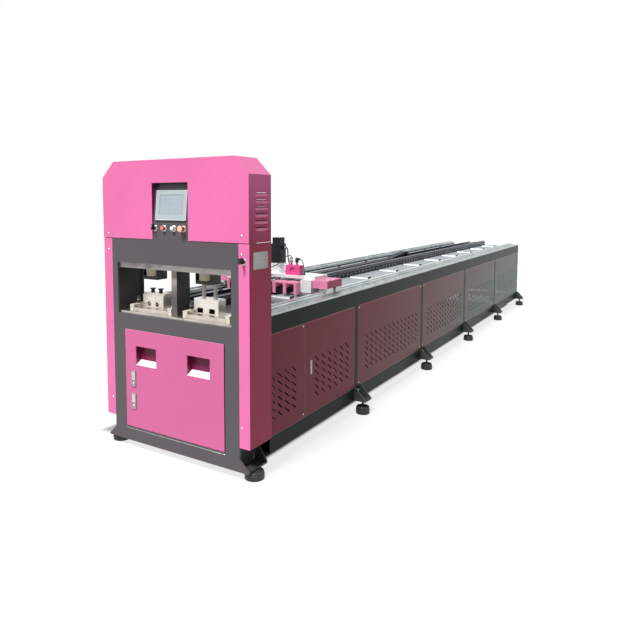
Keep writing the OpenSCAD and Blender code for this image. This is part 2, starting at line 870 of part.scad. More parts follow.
module roller_trays() {
    color([0.74, 0.77, 0.79]) machine() {
        tray(beam_half + 1, tray_edge, right_span);
        tray(-tray_edge, trough_x[0] - 1, left_span);
        for (y = roller_ys, s = [left_span, right_span]) {
            roller_ear(s[0] - ear_out, y);
            roller_ear(s[1] + ear_gap, y);
        }
    }
}

module roller(k) {
    y = roller_ys[k];
    color([0.90, 0.91, 0.90]) machine() translate([0, y, roller_z]) rotate([0, 90, 0]) {
        translate([0, 0, left_span[0] - 16]) cylinder(d = shaft_d, h = right_span[1] - left_span[0] + 32);
        translate([0, 0, left_span[0]]) cylinder(d = roller_d, h = left_span[1] - left_span[0]);
        translate([0, 0, right_span[0]]) cylinder(d = roller_d, h = right_span[1] - right_span[0]);
    }
}

// ---------- carriage ----------

module slider_blocks() {
    color([0.80, 0.81, 0.80]) machine() both_sides()
        for (y = [arm_y[0] + 2, arm_y[1] - 82])
            translate([guide_x, y + 80, 0]) rotate([90, 0, 0]) linear_extrude(80)
                difference() {
                    rect([-32, 32], [deck_h + 6, arm_z]);
                    rect([-guide_w / 2 - fit, guide_w / 2 + fit], [deck_h, deck_h + guide_h + fit]);
                }
}

module carriage_arms() {
    outer = guide_x + 32;
    color([0.95, 0.50, 0.68]) machine() {
        difference() {
            span([riser_out, outer], arm_y, [arm_z, arm_z + arm_t]);
            for (y = [arm_y[0] + 20, arm_y[1] - 20], x = [guide_x - 20, guide_x + 20])
                translate([x, y, arm_z + arm_t - 8]) cylinder(d = 11, h = 9);
        }
        span([-outer, -riser_out], arm_y, [arm_z, arm_z + arm_t]);
    }
}

// Block beside a chuck; the jaws' rod runs into its bore
module riser(x, rod_x) {
    difference() {
        span(x, riser_y, [deck_h + 8, bridge_z]);
        translate([rod_x, jaw_rod_y, (jaw_bar_z[0] + jaw_bar_z[1]) / 2])
            rotate([0, 90, 0]) cylinder(d = jaw_rod_d + 0.1, h = 41);
    }
}

module carriage_bridge() {
    color([0.84, 0.85, 0.84]) machine() {
        riser(riser_right, riser_right[0] - 1);
        riser(riser_left, riser_left[1] - 27);
        difference() {
            span([-riser_out, riser_out], bridge_y, [bridge_z, bridge_z + bridge_t]);
            translate([pinion_x, motor_y, bridge_z - 1]) cylinder(d = 50, h = bridge_t + 2);
        }
    }
}

module gearbox() {
    z0 = bridge_z + bridge_t;
    color([0.78, 0.79, 0.78]) machine() translate([pinion_x, motor_y, z0]) difference() {
        union() {
            translate([-45, -45, 0]) cube([90, 90, 12]);
            cylinder(d = 84, h = 58);
            translate([-motor_s / 2, -motor_s / 2, 58]) cube([motor_s, motor_s, 12]);
        }
        translate([0, 0, -1]) cylinder(d = 30.1, h = 42);
    }
}

module servo_motor() {
    z0 = bridge_z + bridge_t + 70;
    half = motor_s / 2;
    color([0.10, 0.12, 0.13]) machine() translate([pinion_x, motor_y, z0]) {
        linear_extrude(134) polygon([[-half, -half + 6], [-half + 6, -half], [half - 6, -half],
            [half, -half + 6], [half, half - 6], [half - 6, half], [-half + 6, half],
            [-half, half - 6]]);
        translate([-31, -31, 134]) cube([62, 62, 44]);
        translate([half, -14, 96]) cube([14, 28, 24]);
    }
}

// Pinion with straight-flanked teeth that mesh with the rack
module pinion() {
    p_angle = 360 / pinion_teeth;
    root_r = pitch_r - 1.25 * gear_m;
    z0 = beam_top + 3;
    color([0.55, 0.56, 0.57]) machine() translate([pinion_x, motor_y, 0]) {
        translate([0, 0, z0]) linear_extrude(20) union() {
            circle(r = root_r);
            for (k = [0:pinion_teeth - 1])
                rotate(k * p_angle)
                    polygon([[root_r - 1, -p_angle * 0.0173 * root_r * 0.33],
                        [pitch_r, -gear_m * 0.74], [pitch_r + gear_m * 0.9, -gear_m * 0.36],
                        [pitch_r + gear_m * 0.9, gear_m * 0.36], [pitch_r, gear_m * 0.74],
                        [root_r - 1, p_angle * 0.0173 * root_r * 0.33]]);
        }
        translate([0, 0, z0 + 20]) cylinder(d = 46, h = bridge_z - z0 - 20 + 8);
        translate([0, 0, z0 + 20]) cylinder(d = 30, h = bridge_z + bridge_t + 38 - z0 - 20);
    }
}

// Height at which a chuck's gap starts to arch over
function arch_z(pitch, rib) = chuck_z[1] - chuck_roof - (pitch - rib) / 2;

// A comb of round-nosed ribs under one plate: each arched gap takes one pipe
module chuck(x, pitch, rib) {
    half = pitch + rib / 2;
    gap = pitch - rib;
    nose_y = chuck_y[0] + rib / 2;
    difference() {
        union() {
            span([x - half, x + half], [nose_y, chuck_y[1]], chuck_z);
            span([x - half, x + half], [chuck_y[0] + 4, nose_y + 1], [chuck_z[1] - chuck_roof + 3, chuck_z[1]]);
            for (k = [-1, 0, 1])
                translate([x + k * pitch, nose_y, chuck_z[0]]) cylinder(d = rib, h = chuck_z[1] - chuck_z[0]);
        }
        for (side = [-1, 1])
            translate([x + side * pitch / 2, chuck_y[0] - 1, 0]) {
                span([-gap / 2, gap / 2], [0, 100], [chuck_z[0] - 1, arch_z(pitch, rib)]);
                translate([0, 0, arch_z(pitch, rib)]) rotate([-90, 0, 0]) cylinder(d = gap, h = 100);
            }
    }
}

module chucks() {
    color([0.93, 0.47, 0.66]) machine() {
        chuck(right_x, right_pitch, rib_right);
        chuck(left_x, left_pitch, rib_left);
    }
}

// Flat air cylinder blocks with their fittings
module chuck_cylinders() {
    z0 = bridge_z + bridge_t;
    color([0.93, 0.35, 0.62]) machine() for (x = stations)
        difference() {
            span([x - air_w / 2, x + air_w / 2], air_y, [z0, z0 + air_h]);
            translate([x, air_y[0] - 1, z0 + air_h / 2]) rotate([-90, 0, 0]) cylinder(d = 40, h = 9);
        }
    color([0.80, 0.80, 0.78]) machine() for (x = stations, d = [-22, 22])
        translate([x + d, (air_y[0] + air_y[1]) / 2, z0 + air_h]) {
            cylinder(d = 20, h = 8, $fn = 6);
            cylinder(d = 13, h = 22);
        }
}

// One bar with a pad for each pipe of a station, on a rod to its air cylinder
module jaws(x, pitch, rib, rod_x) {
    first = x - pitch / 2 - (pitch - rib) / 2 + fit;
    back = chuck_y[1] + 2;
    color([0.45, 0.46, 0.47]) machine() {
        for (k = [0, 1])
            span([first + k * pitch, first + k * pitch + jaw_t], [chuck_y[0] + 6, back],
                [chuck_z[0] + 2, arch_z(pitch, rib)]);
        span([first, first + pitch + jaw_t], [back, back + 12], jaw_bar_z);
        translate([rod_x[0], jaw_rod_y, (jaw_bar_z[0] + jaw_bar_z[1]) / 2]) rotate([0, 90, 0])
            cylinder(d = jaw_rod_d, h = rod_x[1] - rod_x[0]);
    }
}

module jaws_left() {
    jaws(left_x, left_pitch, rib_left, [riser_left[1] - 25, left_x]);
}

module jaws_right() {
    jaws(right_x, right_pitch, rib_right, [right_x, riser_right[0] + 15]);
}

front_plate();
side_plates();
back_plate();
top_beam();
table_plate();
centre_column();
base_frame();
hood();
side_covers();
hmi_panel();
switch_bezels();
cylinders();
die_bases();
die_clamps();
die_left();
die_right();
hydraulic_unit();
bed_rails();
bed_posts();
cross_members();
bed_panels_right();
bed_panels_left();
bed_end_panel();
foot_brackets();
levelling_feet();
mount_strips();
guide_rails();
centre_beam();
rack();
drag_chain();
roller_trays();
roller(0);  // roller_1
roller(1);  // roller_2
roller(2);  // roller_3
roller(3);  // roller_4
roller(4);  // roller_5
roller(5);  // roller_6
roller(6);  // roller_7
roller(7);  // roller_8
roller(8);  // roller_9
roller(9);  // roller_10
slider_blocks();
carriage_arms();
carriage_bridge();
gearbox();
servo_motor();
pinion();
chucks();
chuck_cylinders();
jaws_left();
jaws_right();
ram_left();
ram_right();
punches_left();
front_door();
selector_knob();
start_button();
stop_button();
emergency_button();
side_selector_knob();
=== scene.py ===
"""Looks of the pipe punching machine: finishes, fasteners, fittings, light and camera.

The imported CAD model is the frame. X runs across the machine, Y from the head along the
bed, Z up, all in metres.
"""

import math

import bmesh
import bpy
from mathutils import Matrix, Vector


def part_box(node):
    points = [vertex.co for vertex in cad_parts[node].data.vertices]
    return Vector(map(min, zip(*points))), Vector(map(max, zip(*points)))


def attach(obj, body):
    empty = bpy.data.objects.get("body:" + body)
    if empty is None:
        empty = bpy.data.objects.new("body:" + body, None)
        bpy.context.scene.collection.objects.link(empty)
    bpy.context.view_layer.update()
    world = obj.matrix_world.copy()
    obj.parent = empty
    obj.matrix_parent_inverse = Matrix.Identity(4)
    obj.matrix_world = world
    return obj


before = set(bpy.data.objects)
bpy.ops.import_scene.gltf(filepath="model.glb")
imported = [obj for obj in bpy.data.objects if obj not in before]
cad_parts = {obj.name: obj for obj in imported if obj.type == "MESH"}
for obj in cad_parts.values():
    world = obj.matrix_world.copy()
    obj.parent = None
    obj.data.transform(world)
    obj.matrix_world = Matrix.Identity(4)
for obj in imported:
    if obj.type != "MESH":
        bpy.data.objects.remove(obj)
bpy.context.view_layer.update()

MM = 0.001
X, Y, Z = Vector((1, 0, 0)), Vector((0, 1, 0)), Vector((0, 0, 1))
SIDES = (-1, 1)
HEX = "hex"


# ---------------------------------------------------------------- places in the frame

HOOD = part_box("hood")
FRONT_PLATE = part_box("front_plate")
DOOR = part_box("front_door")
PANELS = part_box("bed_panels_right")
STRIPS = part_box("mount_strips")
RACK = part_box("rack")
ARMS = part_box("carriage_arms")
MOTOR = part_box("servo_motor")
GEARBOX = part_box("gearbox")
AIR_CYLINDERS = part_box("chuck_cylinders")
DIE_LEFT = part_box("die_left")
DIE_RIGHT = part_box("die_right")
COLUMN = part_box("centre_column")
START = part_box("start_button")

HEAD_FRONT = FRONT_PLATE[0].y
BED_LOW, BED_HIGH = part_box("bed_rails")

# The two punching stations in line with the chucks, in mm across
LEFT_X, RIGHT_X = -240, 165
RAM_Y = 120
RAM_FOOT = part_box("ram_left")[0].z
RAM_SEAT = RAM_FOOT + 21 * MM

# The control screen's foot and height, in mm
HMI_Z = (HOOD[0].z + 0.243 * (HOOD[1].z - HOOD[0].z)) / MM
HMI_H = 0.375 * (HOOD[1].z - HOOD[0].z) / MM


def middle(box):
    return (box[0] + box[1]) / 2


# ---------------------------------------------------------------- finishes


def rgb(r, g, b):
    """A colour as seen on a screen, turned into the light that the shader works with."""
    return tuple((c / 255 / 12.92) if c <= 10 else ((c / 255 + 0.055) / 1.055) ** 2.4 for c in (r, g, b)) + (1.0,)


def shade(colour, factor):
    return tuple(min(1.0, c * factor) for c in colour[:3]) + (1.0,)


def feed(tree, value, target):
    """Puts a socket or a plain value into a socket."""
    if isinstance(value, bpy.types.NodeSocket):
        tree.links.new(value, target)
    else:
        target.default_value = value


def calculate(tree, operation, a, b=0.0, clamp=False):
    made = tree.nodes.new("ShaderNodeMath")
    made.operation = operation
    made.use_clamp = clamp
    feed(tree, a, made.inputs[0])
    feed(tree, b, made.inputs[1])
    return made.outputs[0]


def smooth_step(tree, value, low, high):
    """0 below low, 1 above high, smooth between."""
    made = tree.nodes.new("ShaderNodeMapRange")
    made.interpolation_type = "SMOOTHSTEP"
    feed(tree, value, made.inputs["Value"])
    made.inputs["From Min"].default_value = low
    made.inputs["From Max"].default_value = high
    return made.outputs["Result"]


class Finish:
    """One procedural material. Its helpers return node sockets, so that they can be chained."""

    def __init__(self, name, colour, roughness, metallic=0.0, specular=0.5):
        self.material = bpy.data.materials.new(name)
        self.material.use_nodes = True
        self.tree = self.material.node_tree
        self.shader = self.tree.nodes["Principled BSDF"]
        self.shader.inputs["Metallic"].default_value = metallic
        self.shader.inputs["Roughness"].default_value = roughness
        self.shader.inputs["Specular IOR Level"].default_value = specular
        self.shader.inputs["Base Color"].default_value = colour
        self.colour = colour
        self.rough = roughness
        self.height = None
        self.soft_edge = None
        self.place = self.node("ShaderNodeTexCoord").outputs["Object"]

    def node(self, kind, **settings):
        made = self.tree.nodes.new(kind)
        for key, value in settings.items():
            setattr(made, key, value)
        return made

    def link(self, source, target):
        self.tree.links.new(source, target)

    def feed(self, value, target):
        feed(self.tree, value, target)

    def math(self, operation, a, b=0.0, clamp=False):
        return calculate(self.tree, operation, a, b, clamp)

    def axis_of(self, vector, letter):
        split = self.node("ShaderNodeSeparateXYZ")
        self.link(vector, split.inputs[0])
        return split.outputs[letter]

    def axis(self, letter):
        """The object-space X, Y or Z of the shaded point, in metres."""
        return self.axis_of(self.place, letter)

    def step(self, value, low, high):
        return smooth_step(self.tree, value, low, high)

    def below(self, value, low, high):
        """1 below low, 0 above high, smooth between."""
        return self.step(self.math("MULTIPLY", value, -1), -high, -low)

    def distance(self, value, centre):
        return self.math("ABSOLUTE", self.math("SUBTRACT", value, centre))

    def noise(self, scale, detail=3.0, stretch=(1, 1, 1), roughness=0.55):
        place = self.node("ShaderNodeMapping")
        place.inputs["Scale"].default_value = stretch
        self.link(self.place, place.inputs["Vector"])
        made = self.node("ShaderNodeTexNoise")
        made.inputs["Scale"].default_value = scale
        made.inputs["Detail"].default_value = detail
        made.inputs["Roughness"].default_value = roughness
        self.link(place.outputs[0], made.inputs["Vector"])
        return made.outputs["Fac"]

    def mix(self, mask, a, b):
        made = self.node("ShaderNodeMix", data_type="RGBA")
        self.feed(mask, made.inputs["Factor"])
        self.feed(a, made.inputs["A"])
        self.feed(b, made.inputs["B"])
        return made.outputs["Result"]

    def tint(self, mask, colour):
        """Lays a colour over the finish where the mask is 1."""
        self.colour = self.mix(mask, self.colour, colour)

    def stain(self, colour, low, high, *pattern, **more):
        """Lays a colour over the finish in patches, where the noise passes from low to high."""
        self.tint(self.step(self.noise(*pattern, **more), low, high), colour)

    def unevenness(self, scale, amount, stretch=(1, 1, 1)):
        """Lightens and darkens the colour a little from place to place."""
        spread = self.step(self.noise(scale, 4, stretch), 0.3, 0.7)
        made = self.node("ShaderNodeMix", data_type="RGBA", blend_type="MULTIPLY")
        made.inputs["Factor"].default_value = 1.0
        self.feed(self.colour, made.inputs["A"])
        self.link(self.mix(spread, (1 - amount,) * 3 + (1.0,), (1 + amount,) * 3 + (1.0,)), made.inputs["B"])
        self.colour = made.outputs["Result"]

    def roughen(self, scale, amount, stretch=(1, 1, 1)):
        spread = self.math("SUBTRACT", self.noise(scale, 4, stretch), 0.5)
        self.rough = self.math("ADD", self.rough, self.math("MULTIPLY", spread, amount), clamp=True)

    def grain(self, scale, depth, stretch=(1, 1, 1), detail=2.0):
        """Adds a relief of that depth, in metres."""
        relief = self.math("MULTIPLY", self.noise(scale, detail, stretch), depth)
        self.height = relief if self.height is None else self.math("ADD", self.height, relief)

    def edges(self, radius):
        """Rounds the shading of sharp edges, and returns a mask of where they are."""
        made = self.node("ShaderNodeBevel", samples=4)
        made.inputs["Radius"].default_value = radius
        self.soft_edge = made.outputs["Normal"]
        true_normal = self.node("ShaderNodeNewGeometry").outputs["Normal"]
        dot = self.node("ShaderNodeVectorMath", operation="DOT_PRODUCT")
        self.link(self.soft_edge, dot.inputs[0])
        self.link(true_normal, dot.inputs[1])
        return self.step(self.math("SUBTRACT", 1.0, dot.outputs["Value"]), 0.01, 0.12)

    def facing(self, letter, low, high):
        """1 on faces that look along X, Y or Z."""
        return self.step(self.axis_of(self.node("ShaderNodeNewGeometry").outputs["Normal"], letter), low, high)

    def done(self):
        self.feed(self.colour, self.shader.inputs["Base Color"])
        self.feed(self.rough, self.shader.inputs["Roughness"])
        if self.height is not None:
            bump = self.node("ShaderNodeBump")
            bump.inputs["Distance"].default_value = 1.0
            bump.inputs["Strength"].default_value = 1.0
            self.link(self.height, bump.inputs["Height"])
            if self.soft_edge is not None:
                self.link(self.soft_edge, bump.inputs["Normal"])
            self.link(bump.outputs["Normal"], self.shader.inputs["Normal"])
        elif self.soft_edge is not None:
            self.link(self.soft_edge, self.shader.inputs["Normal"])
        return self.material


def powder_coat(name, colour, roughness=0.38, specular=0.35, edge=1.35):
    """Sprayed enamel: orange peel, faint clouding, and lighter edges, partly thin worn paint and partly painted
    highlight.
    """
    look = Finish(name, colour, roughness, specular=specular)
    look.unevenness(2.3, 0.035)
    look.unevenness(55.0, 0.015)
    rim = look.edges(1.3 * MM)
    # Lighter edges: worn paint and painted highlight
    look.tint(look.math("MULTIPLY", rim, 0.5), shade(colour, edge))
    look.roughen(14.0, 0.12)
    look.grain(420.0, 0.035 * MM)
    return look


def machined(name, colour, roughness, along, specular=0.5, wear=0.10, metallic=1.0):
    """Ground or milled metal, its fine lines running along one axis."""
    stretch = {"X": (0.04, 1, 1), "Y": (1, 0.04, 1), "Z": (1, 1, 0.04)}[along]
    look = Finish(name, colour, roughness, metallic=metallic, specular=specular)
    look.unevenness(6.0, wear)
    look.unevenness(260.0, 0.10, stretch)
    look.edges(0.8 * MM)
    look.roughen(180.0, 0.22, stretch)
    look.roughen(9.0, 0.12)
    look.grain(700.0, 0.02 * MM, stretch)
    return look


def moulded(name, colour, roughness=0.35, specular=0.5):
    """Moulded plastic with a faint texture."""
    look = Finish(name, colour, roughness, specular=specular)
    look.unevenness(40.0, 0.03)
    look.edges(0.6 * MM)
    look.roughen(60.0, 0.10)
    look.grain(900.0, 0.01 * MM)
    return look


PINK = rgb(238, 122, 178)
ROSE = rgb(214, 106, 156)
FRAME_GREY = rgb(87, 82, 86)
BED_GREEN = rgb(40, 52, 45)


def side_painted_shade(name, low, high, depth):
    """The enamel, painted deeper and redder as shade down the outer side sheets."""
    look = powder_coat(name, PINK, specular=0.16)
    # Painted shade on the outer side sheets, stronger lower down
    outside = look.step(look.math("ABSOLUTE", look.axis("X")), HOOD[1].x - 0.6 * MM, HOOD[1].x - 0.2 * MM)
    down = look.below(look.axis("Z"), low, high)
    look.tint(look.math("MULTIPLY", outside, look.math("MULTIPLY", down, depth)), rgb(176, 46, 76))
    return look.done()


hood_paint = side_painted_shade("hood_paint", 1.26, 1.60, 0.75)
cover_paint = side_painted_shade("cover_paint", 1.30, 1.40, 0.85)

# The door: painted shade inside its grips, painted highlight on their upward-facing lower lips, grey on the latch
# bodies
door_look = powder_coat("door_paint", ROSE)
latch_body = door_look.below(door_look.axis("Y"), HEAD_FRONT - 1.3 * MM, HEAD_FRONT - 1.1 * MM)
grip_painted_shade = door_look.step(door_look.axis("Y"), HEAD_FRONT + 3.4 * MM, HEAD_FRONT + 9 * MM)
behind = door_look.step(door_look.axis("Y"), HEAD_FRONT - 1.5 * MM, HEAD_FRONT - 0.5 * MM)
# Painted shade in the grips, then painted highlight on the lips
door_look.tint(grip_painted_shade, rgb(114, 20, 66))
door_look.tint(door_look.math("MULTIPLY", door_look.facing("Z", 0.3, 0.5), behind), rgb(246, 226, 240))
door_look.tint(latch_body, rgb(150, 150, 154))
door_paint = door_look.done()

plate_look = powder_coat("front_plate_paint", FRAME_GREY, roughness=0.45, edge=1.7)
plate_look.stain(rgb(140, 134, 134), 0.70, 0.76, 26.0, 6.0, roughness=0.7)
frame_paint = plate_look.done()

dark_look = powder_coat("dark_frame_paint", rgb(58, 58, 58), roughness=0.5, edge=2.0)
dark_look.stain(rgb(86, 84, 80), 0.62, 0.72, 9.0, 7.0, (1, 1, 0.3), 0.75)
dark_paint = dark_look.done()

# The column: its front face lighter and bare, with a painted highlight over it from about where pipes pass upward
column_look = powder_coat("column_paint", rgb(58, 57, 57), roughness=0.5, edge=2.0)
front_face = column_look.below(column_look.axis("Y"), COLUMN[0].y + 0.4 * MM, COLUMN[0].y + 1.0 * MM)
column_look.tint(front_face, rgb(92, 88, 86))
# Painted highlight on the upper front face
column_painted_highlight = column_look.math("MULTIPLY", front_face, column_look.step(column_look.axis("Z"), 0.92, 1.08))
column_look.tint(column_painted_highlight, rgb(186, 180, 168))
column_paint = column_look.done()

bed_paint = powder_coat("bed_paint", BED_GREEN, roughness=0.34, specular=0.06, edge=2.2).done()
# The foot brackets: the bed's dark paint made lighter as painted light, with a strong painted highlight on the edges
bracket_lit_paint = powder_coat("bracket_lit_paint", rgb(76, 82, 79), roughness=0.34, specular=0.3, edge=2.6).done()


def panel_paint(name):
    """The side panels' enamel: the pink painted as shade, wine red by the head, then a painted reflection makes it
    greyer and greener further along and lower down.
    """
    look = powder_coat(name, rgb(150, 62, 80), roughness=0.3, specular=0.08, edge=1.1)
    # Painted reflection: grows along the bed and lower down
    along = look.step(look.axis("Y"), PANELS[0].y, PANELS[1].y)
    low = look.step(look.axis("Z"), PANELS[1].z, PANELS[0].z)
    lower = look.math("MULTIPLY", look.math("MULTIPLY", along, low), 0.45)
    painted_reflection = look.math("ADD", look.math("MULTIPLY", along, 0.84), lower, clamp=True)
    look.tint(painted_reflection, rgb(106, 126, 109))
    return look.done()


panels_paint = panel_paint("panel_paint")
end_panel_paint = powder_coat("end_panel_paint", rgb(110, 104, 96), roughness=0.3, specular=0.08, edge=1.1).done()

table_look = machined("table_steel", rgb(208, 201, 194), 0.34, "X", wear=0.12)
table_look.stain(rgb(166, 154, 142), 0.58, 0.75, 30.0, 6.0)
table_steel = table_look.done()

beam_look = machined("beam_steel", rgb(150, 146, 144), 0.42, "X", wear=0.15)
beam_look.stain(rgb(104, 100, 100), 0.52, 0.70, 14.0, 7.0, (0.3, 1, 1), 0.7)
beam_steel = beam_look.done()


def die_finish(name):
    """Milled steel, stained by use."""
    look = machined(name, rgb(226, 220, 213), 0.34, "X", wear=0.14)
    look.stain(rgb(132, 120, 110), 0.54, 0.74, 48.0, 7.0, (1, 1, 1), 0.7)
    return look


die_left_steel = die_finish("die_left_steel").done()

# The right die's two square holes, painted dark inside as shade
HOLE_APART = 42 * MM
HOLE_MIDDLE = STRIPS[1].z + 2.5 * MM
die_look = die_finish("die_right_steel")
apart = die_look.distance(die_look.distance(die_look.axis("X"), RIGHT_X * MM), HOLE_APART)
above = die_look.distance(die_look.axis("Z"), HOLE_MIDDLE)
across_hole = die_look.below(apart, 20.1 * MM, 20.3 * MM)
up_hole = die_look.below(above, 13.6 * MM, 13.8 * MM)
die_look.tint(die_look.math("MULTIPLY", across_hole, up_hole), rgb(44, 38, 36))
die_right_steel = die_look.done()

bright_steel = machined("bright_steel", rgb(214, 218, 217), 0.24, "Y").done()
rack_steel = machined("rack_steel", rgb(92, 96, 108), 0.4, "Y", wear=0.1, metallic=0.5).done()
guide_steel = machined("guide_steel", rgb(206, 212, 211), 0.20, "Y").done()
strip_look = machined("strip_steel", rgb(176, 184, 184), 0.40, "Y", wear=0.12)
strip_look.stain(rgb(164, 166, 152), 0.56, 0.74, 11.0, 7.0, (1, 0.2, 1), 0.7)
strip_steel = strip_look.done()

aluminium = machined("milled_aluminium", rgb(232, 234, 234), 0.5, "X", wear=0.05, metallic=0.35).done()
slider_steel = machined("slider_steel", rgb(230, 230, 226), 0.45, "Y", wear=0.05, metallic=0.4).done()
tray_look = machined("tray_sheet", rgb(152, 160, 164), 0.62, "Y", wear=0.08, metallic=0.1)
TRAY_TOP = 0.8402
tray_ears = tray_look.step(tray_look.axis("Z"), TRAY_TOP, TRAY_TOP + 0.4 * MM)
tray_look.tint(tray_ears, rgb(46, 48, 50))
tray_sheet = tray_look.done()
roller_steel = machined("roller_steel", rgb(206, 210, 210), 0.34, "X", metallic=0.7).done()
zinc = machined("zinc_plate", rgb(208, 208, 204), 0.28, "Z").done()

black_oxide = machined("black_oxide", rgb(46, 46, 48), 0.42, "X", wear=0.2).done()

cast_look = Finish("cast_grey", rgb(88, 92, 96), 0.5, specular=0.4)
cast_look.unevenness(12.0, 0.12)
cast_look.edges(1.5 * MM)
cast_look.roughen(30.0, 0.2)
cast_look.grain(160.0, 0.15 * MM, detail=5.0)
cast_grey = cast_look.done()

beam_paint_look = powder_coat("centre_beam_paint", rgb(40, 42, 58), roughness=0.38, specular=0.25, edge=2.6)
beam_paint_look.stain(rgb(66, 68, 86), 0.58, 0.75, 7.0, 6.0, (1, 0.15, 1), 0.7)
beam_paint = beam_paint_look.done()

motor_paint = powder_coat("motor_paint", rgb(26, 29, 32), roughness=0.42, specular=0.25, edge=2.4).done()
black_plastic = moulded("black_plastic", rgb(30, 31, 33), 0.42).done()
chain_plastic = moulded("chain_plastic", rgb(34, 36, 42), 0.45, specular=0.12).done()
grey_plastic = moulded("grey_plastic", rgb(150, 150, 154), 0.4).done()
white_plastic = moulded("white_plastic", rgb(242, 240, 232), 0.3).done()
red_plastic = moulded("red_plastic", rgb(196, 34, 30), 0.22).done()
# Pale red and peach: the red stop lens and emergency cap with painted highlight
red_lens_painted_glint = moulded("red_lens_painted_glint", rgb(240, 132, 122), 0.25).done()
red_cap_painted_glint = moulded("red_cap_painted_glint", rgb(250, 202, 160), 0.25).done()
hose_rubber = moulded("hose_rubber", rgb(28, 29, 31), 0.5).done()

# The control screen's node holds its housing, the grey sheet around it with painted shade above the screen, and the
# pink cheeks painted dark as shade.
hmi_look = moulded("hmi_housing", rgb(178, 190, 194), 0.34)
across = hmi_look.math("ABSOLUTE", hmi_look.axis("X"))
upward = hmi_look.distance(hmi_look.axis("Z"), (HMI_Z + HMI_H / 2) * MM)
past_side = hmi_look.step(across, 114.2 * MM, 114.6 * MM)
past_end = hmi_look.step(upward, (HMI_H / 2 - 0.6) * MM, (HMI_H / 2 - 0.2) * MM)
hmi_look.tint(hmi_look.math("MAXIMUM", past_side, past_end), rgb(84, 82, 86))
# Painted shade above the screen
over = hmi_look.step(hmi_look.axis("Z"), (HMI_Z + HMI_H + 3) * MM, (HMI_Z + HMI_H + 26) * MM)
hmi_look.tint(over, rgb(40, 26, 46))
# Cheeks: pink painted dark as shade
hmi_look.tint(hmi_look.step(across, 131.2 * MM, 131.6 * MM), rgb(132, 40, 88))
hmi_housing = hmi_look.done()

foot_look = Finish("levelling_foot", rgb(46, 48, 48), 0.5)
foot_look.unevenness(30.0, 0.2)
foot_look.edges(1.0 * MM)
foot_look.roughen(40.0, 0.25)
foot_look.grain(300.0, 0.06 * MM)
foot_rubber = foot_look.done()


def ram_finish(name, x):
    """Black striking block, cream flange and rod in its slot, and bright punches under it."""
    look = powder_coat(name, rgb(224, 214, 184), roughness=0.4, specular=0.4)
    over = look.math("SUBTRACT", look.axis("X"), x * MM)
    back = look.math("SUBTRACT", look.axis("Y"), HEAD_FRONT + RAM_Y * MM)
    squares = look.math("ADD", look.math("MULTIPLY", over, over), look.math("MULTIPLY", back, back))
    beyond_flange = look.step(look.math("SQRT", squares), 50.1 * MM, 50.4 * MM)
    block = look.below(look.axis("Z"), RAM_SEAT - 0.25 * MM, RAM_SEAT - 0.05 * MM)
    look.tint(look.math("MAXIMUM", beyond_flange, block), rgb(30, 30, 31))
    look.tint(look.below(look.axis("Z"), RAM_FOOT - 0.2 * MM, RAM_FOOT), rgb(214, 208, 206))
    return look.done()


ram_left_steel = ram_finish("ram_left_steel", LEFT_X)
ram_right_steel = ram_finish("ram_right_steel", RIGHT_X)

# The left air cylinder is black, the right one pink
air_look = powder_coat("air_cylinder_paint", rgb(222, 84, 146), specular=0.2)
air_look.tint(air_look.below(air_look.axis("X"), -0.01, 0.0), rgb(28, 29, 31))
air_paint = air_look.done()

# The arms: their sides facing across painted darker and redder as shade
arm_look = powder_coat("arm_paint", rgb(214, 124, 160), specular=0.3, edge=1.6)
arm_look.tint(arm_look.facing("X", 0.4, 0.6), rgb(176, 58, 96))
arm_paint = arm_look.done()
chuck_paint = powder_coat("chuck_paint", rgb(226, 136, 168), specular=0.4, edge=1.9).done()

clamp_look = powder_coat("clamp_paint", rgb(206, 200, 188), roughness=0.42, specular=0.4)
STRAP_TOP = 0.8612
clamp_look.tint(clamp_look.step(clamp_look.axis("Z"), STRAP_TOP, STRAP_TOP + 0.2 * MM), rgb(74, 72, 70))
clamp_paint = clamp_look.done()

NODE_FINISH = {
    "front_plate": frame_paint,
    "side_plates": dark_paint,
    "back_plate": dark_paint,
    "base_frame": dark_paint,
    "centre_column": column_paint,
    "top_beam": beam_steel,
    "table_plate": table_steel,
    "hood": hood_paint,
    "side_covers": cover_paint,
    "hmi_panel": hmi_housing,
    "switch_bezels": zinc,
    "cylinders": cast_grey,
    "hydraulic_unit": cast_grey,
    "die_bases": table_steel,
    "die_clamps": clamp_paint,
    "die_left": die_left_steel,
    "die_right": die_right_steel,
    "punches_left": black_oxide,
    "ram_left": ram_left_steel,
    "ram_right": ram_right_steel,
    "front_door": door_paint,
    "bed_rails": bed_paint,
    "bed_posts": bed_paint,
    "cross_members": bed_paint,
    "bed_panels_right": panels_paint,
    "bed_panels_left": panels_paint,
    "bed_end_panel": end_panel_paint,
    "foot_brackets": bracket_lit_paint,
    "levelling_feet": foot_rubber,
    "mount_strips": strip_steel,
    "guide_rails": guide_steel,
    "centre_beam": beam_paint,
    "rack": rack_steel,
    "drag_chain": chain_plastic,
    "roller_trays": tray_sheet,
    "slider_blocks": slider_steel,
    "carriage_arms": arm_paint,
    "carriage_bridge": aluminium,
    "gearbox": aluminium,
    "servo_motor": motor_paint,
    "pinion": bright_steel,
    "chucks": chuck_paint,
    "chuck_cylinders": air_paint,
    "jaws_left": black_oxide,
    "jaws_right": black_oxide,
    "selector_knob": black_plastic,
    "side_selector_knob": black_plastic,
    "start_button": white_plastic,
    "stop_button": red_plastic,
    "emergency_button": red_plastic,
}
NODE_FINISH.update({f"roller_{k}": roller_steel for k in range(1, 11)})

for node_name, node_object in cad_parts.items():
    node_object.data.materials.clear()
    node_object.data.materials.append(NODE_FINISH[node_name])


# ---------------------------------------------------------------- building solids


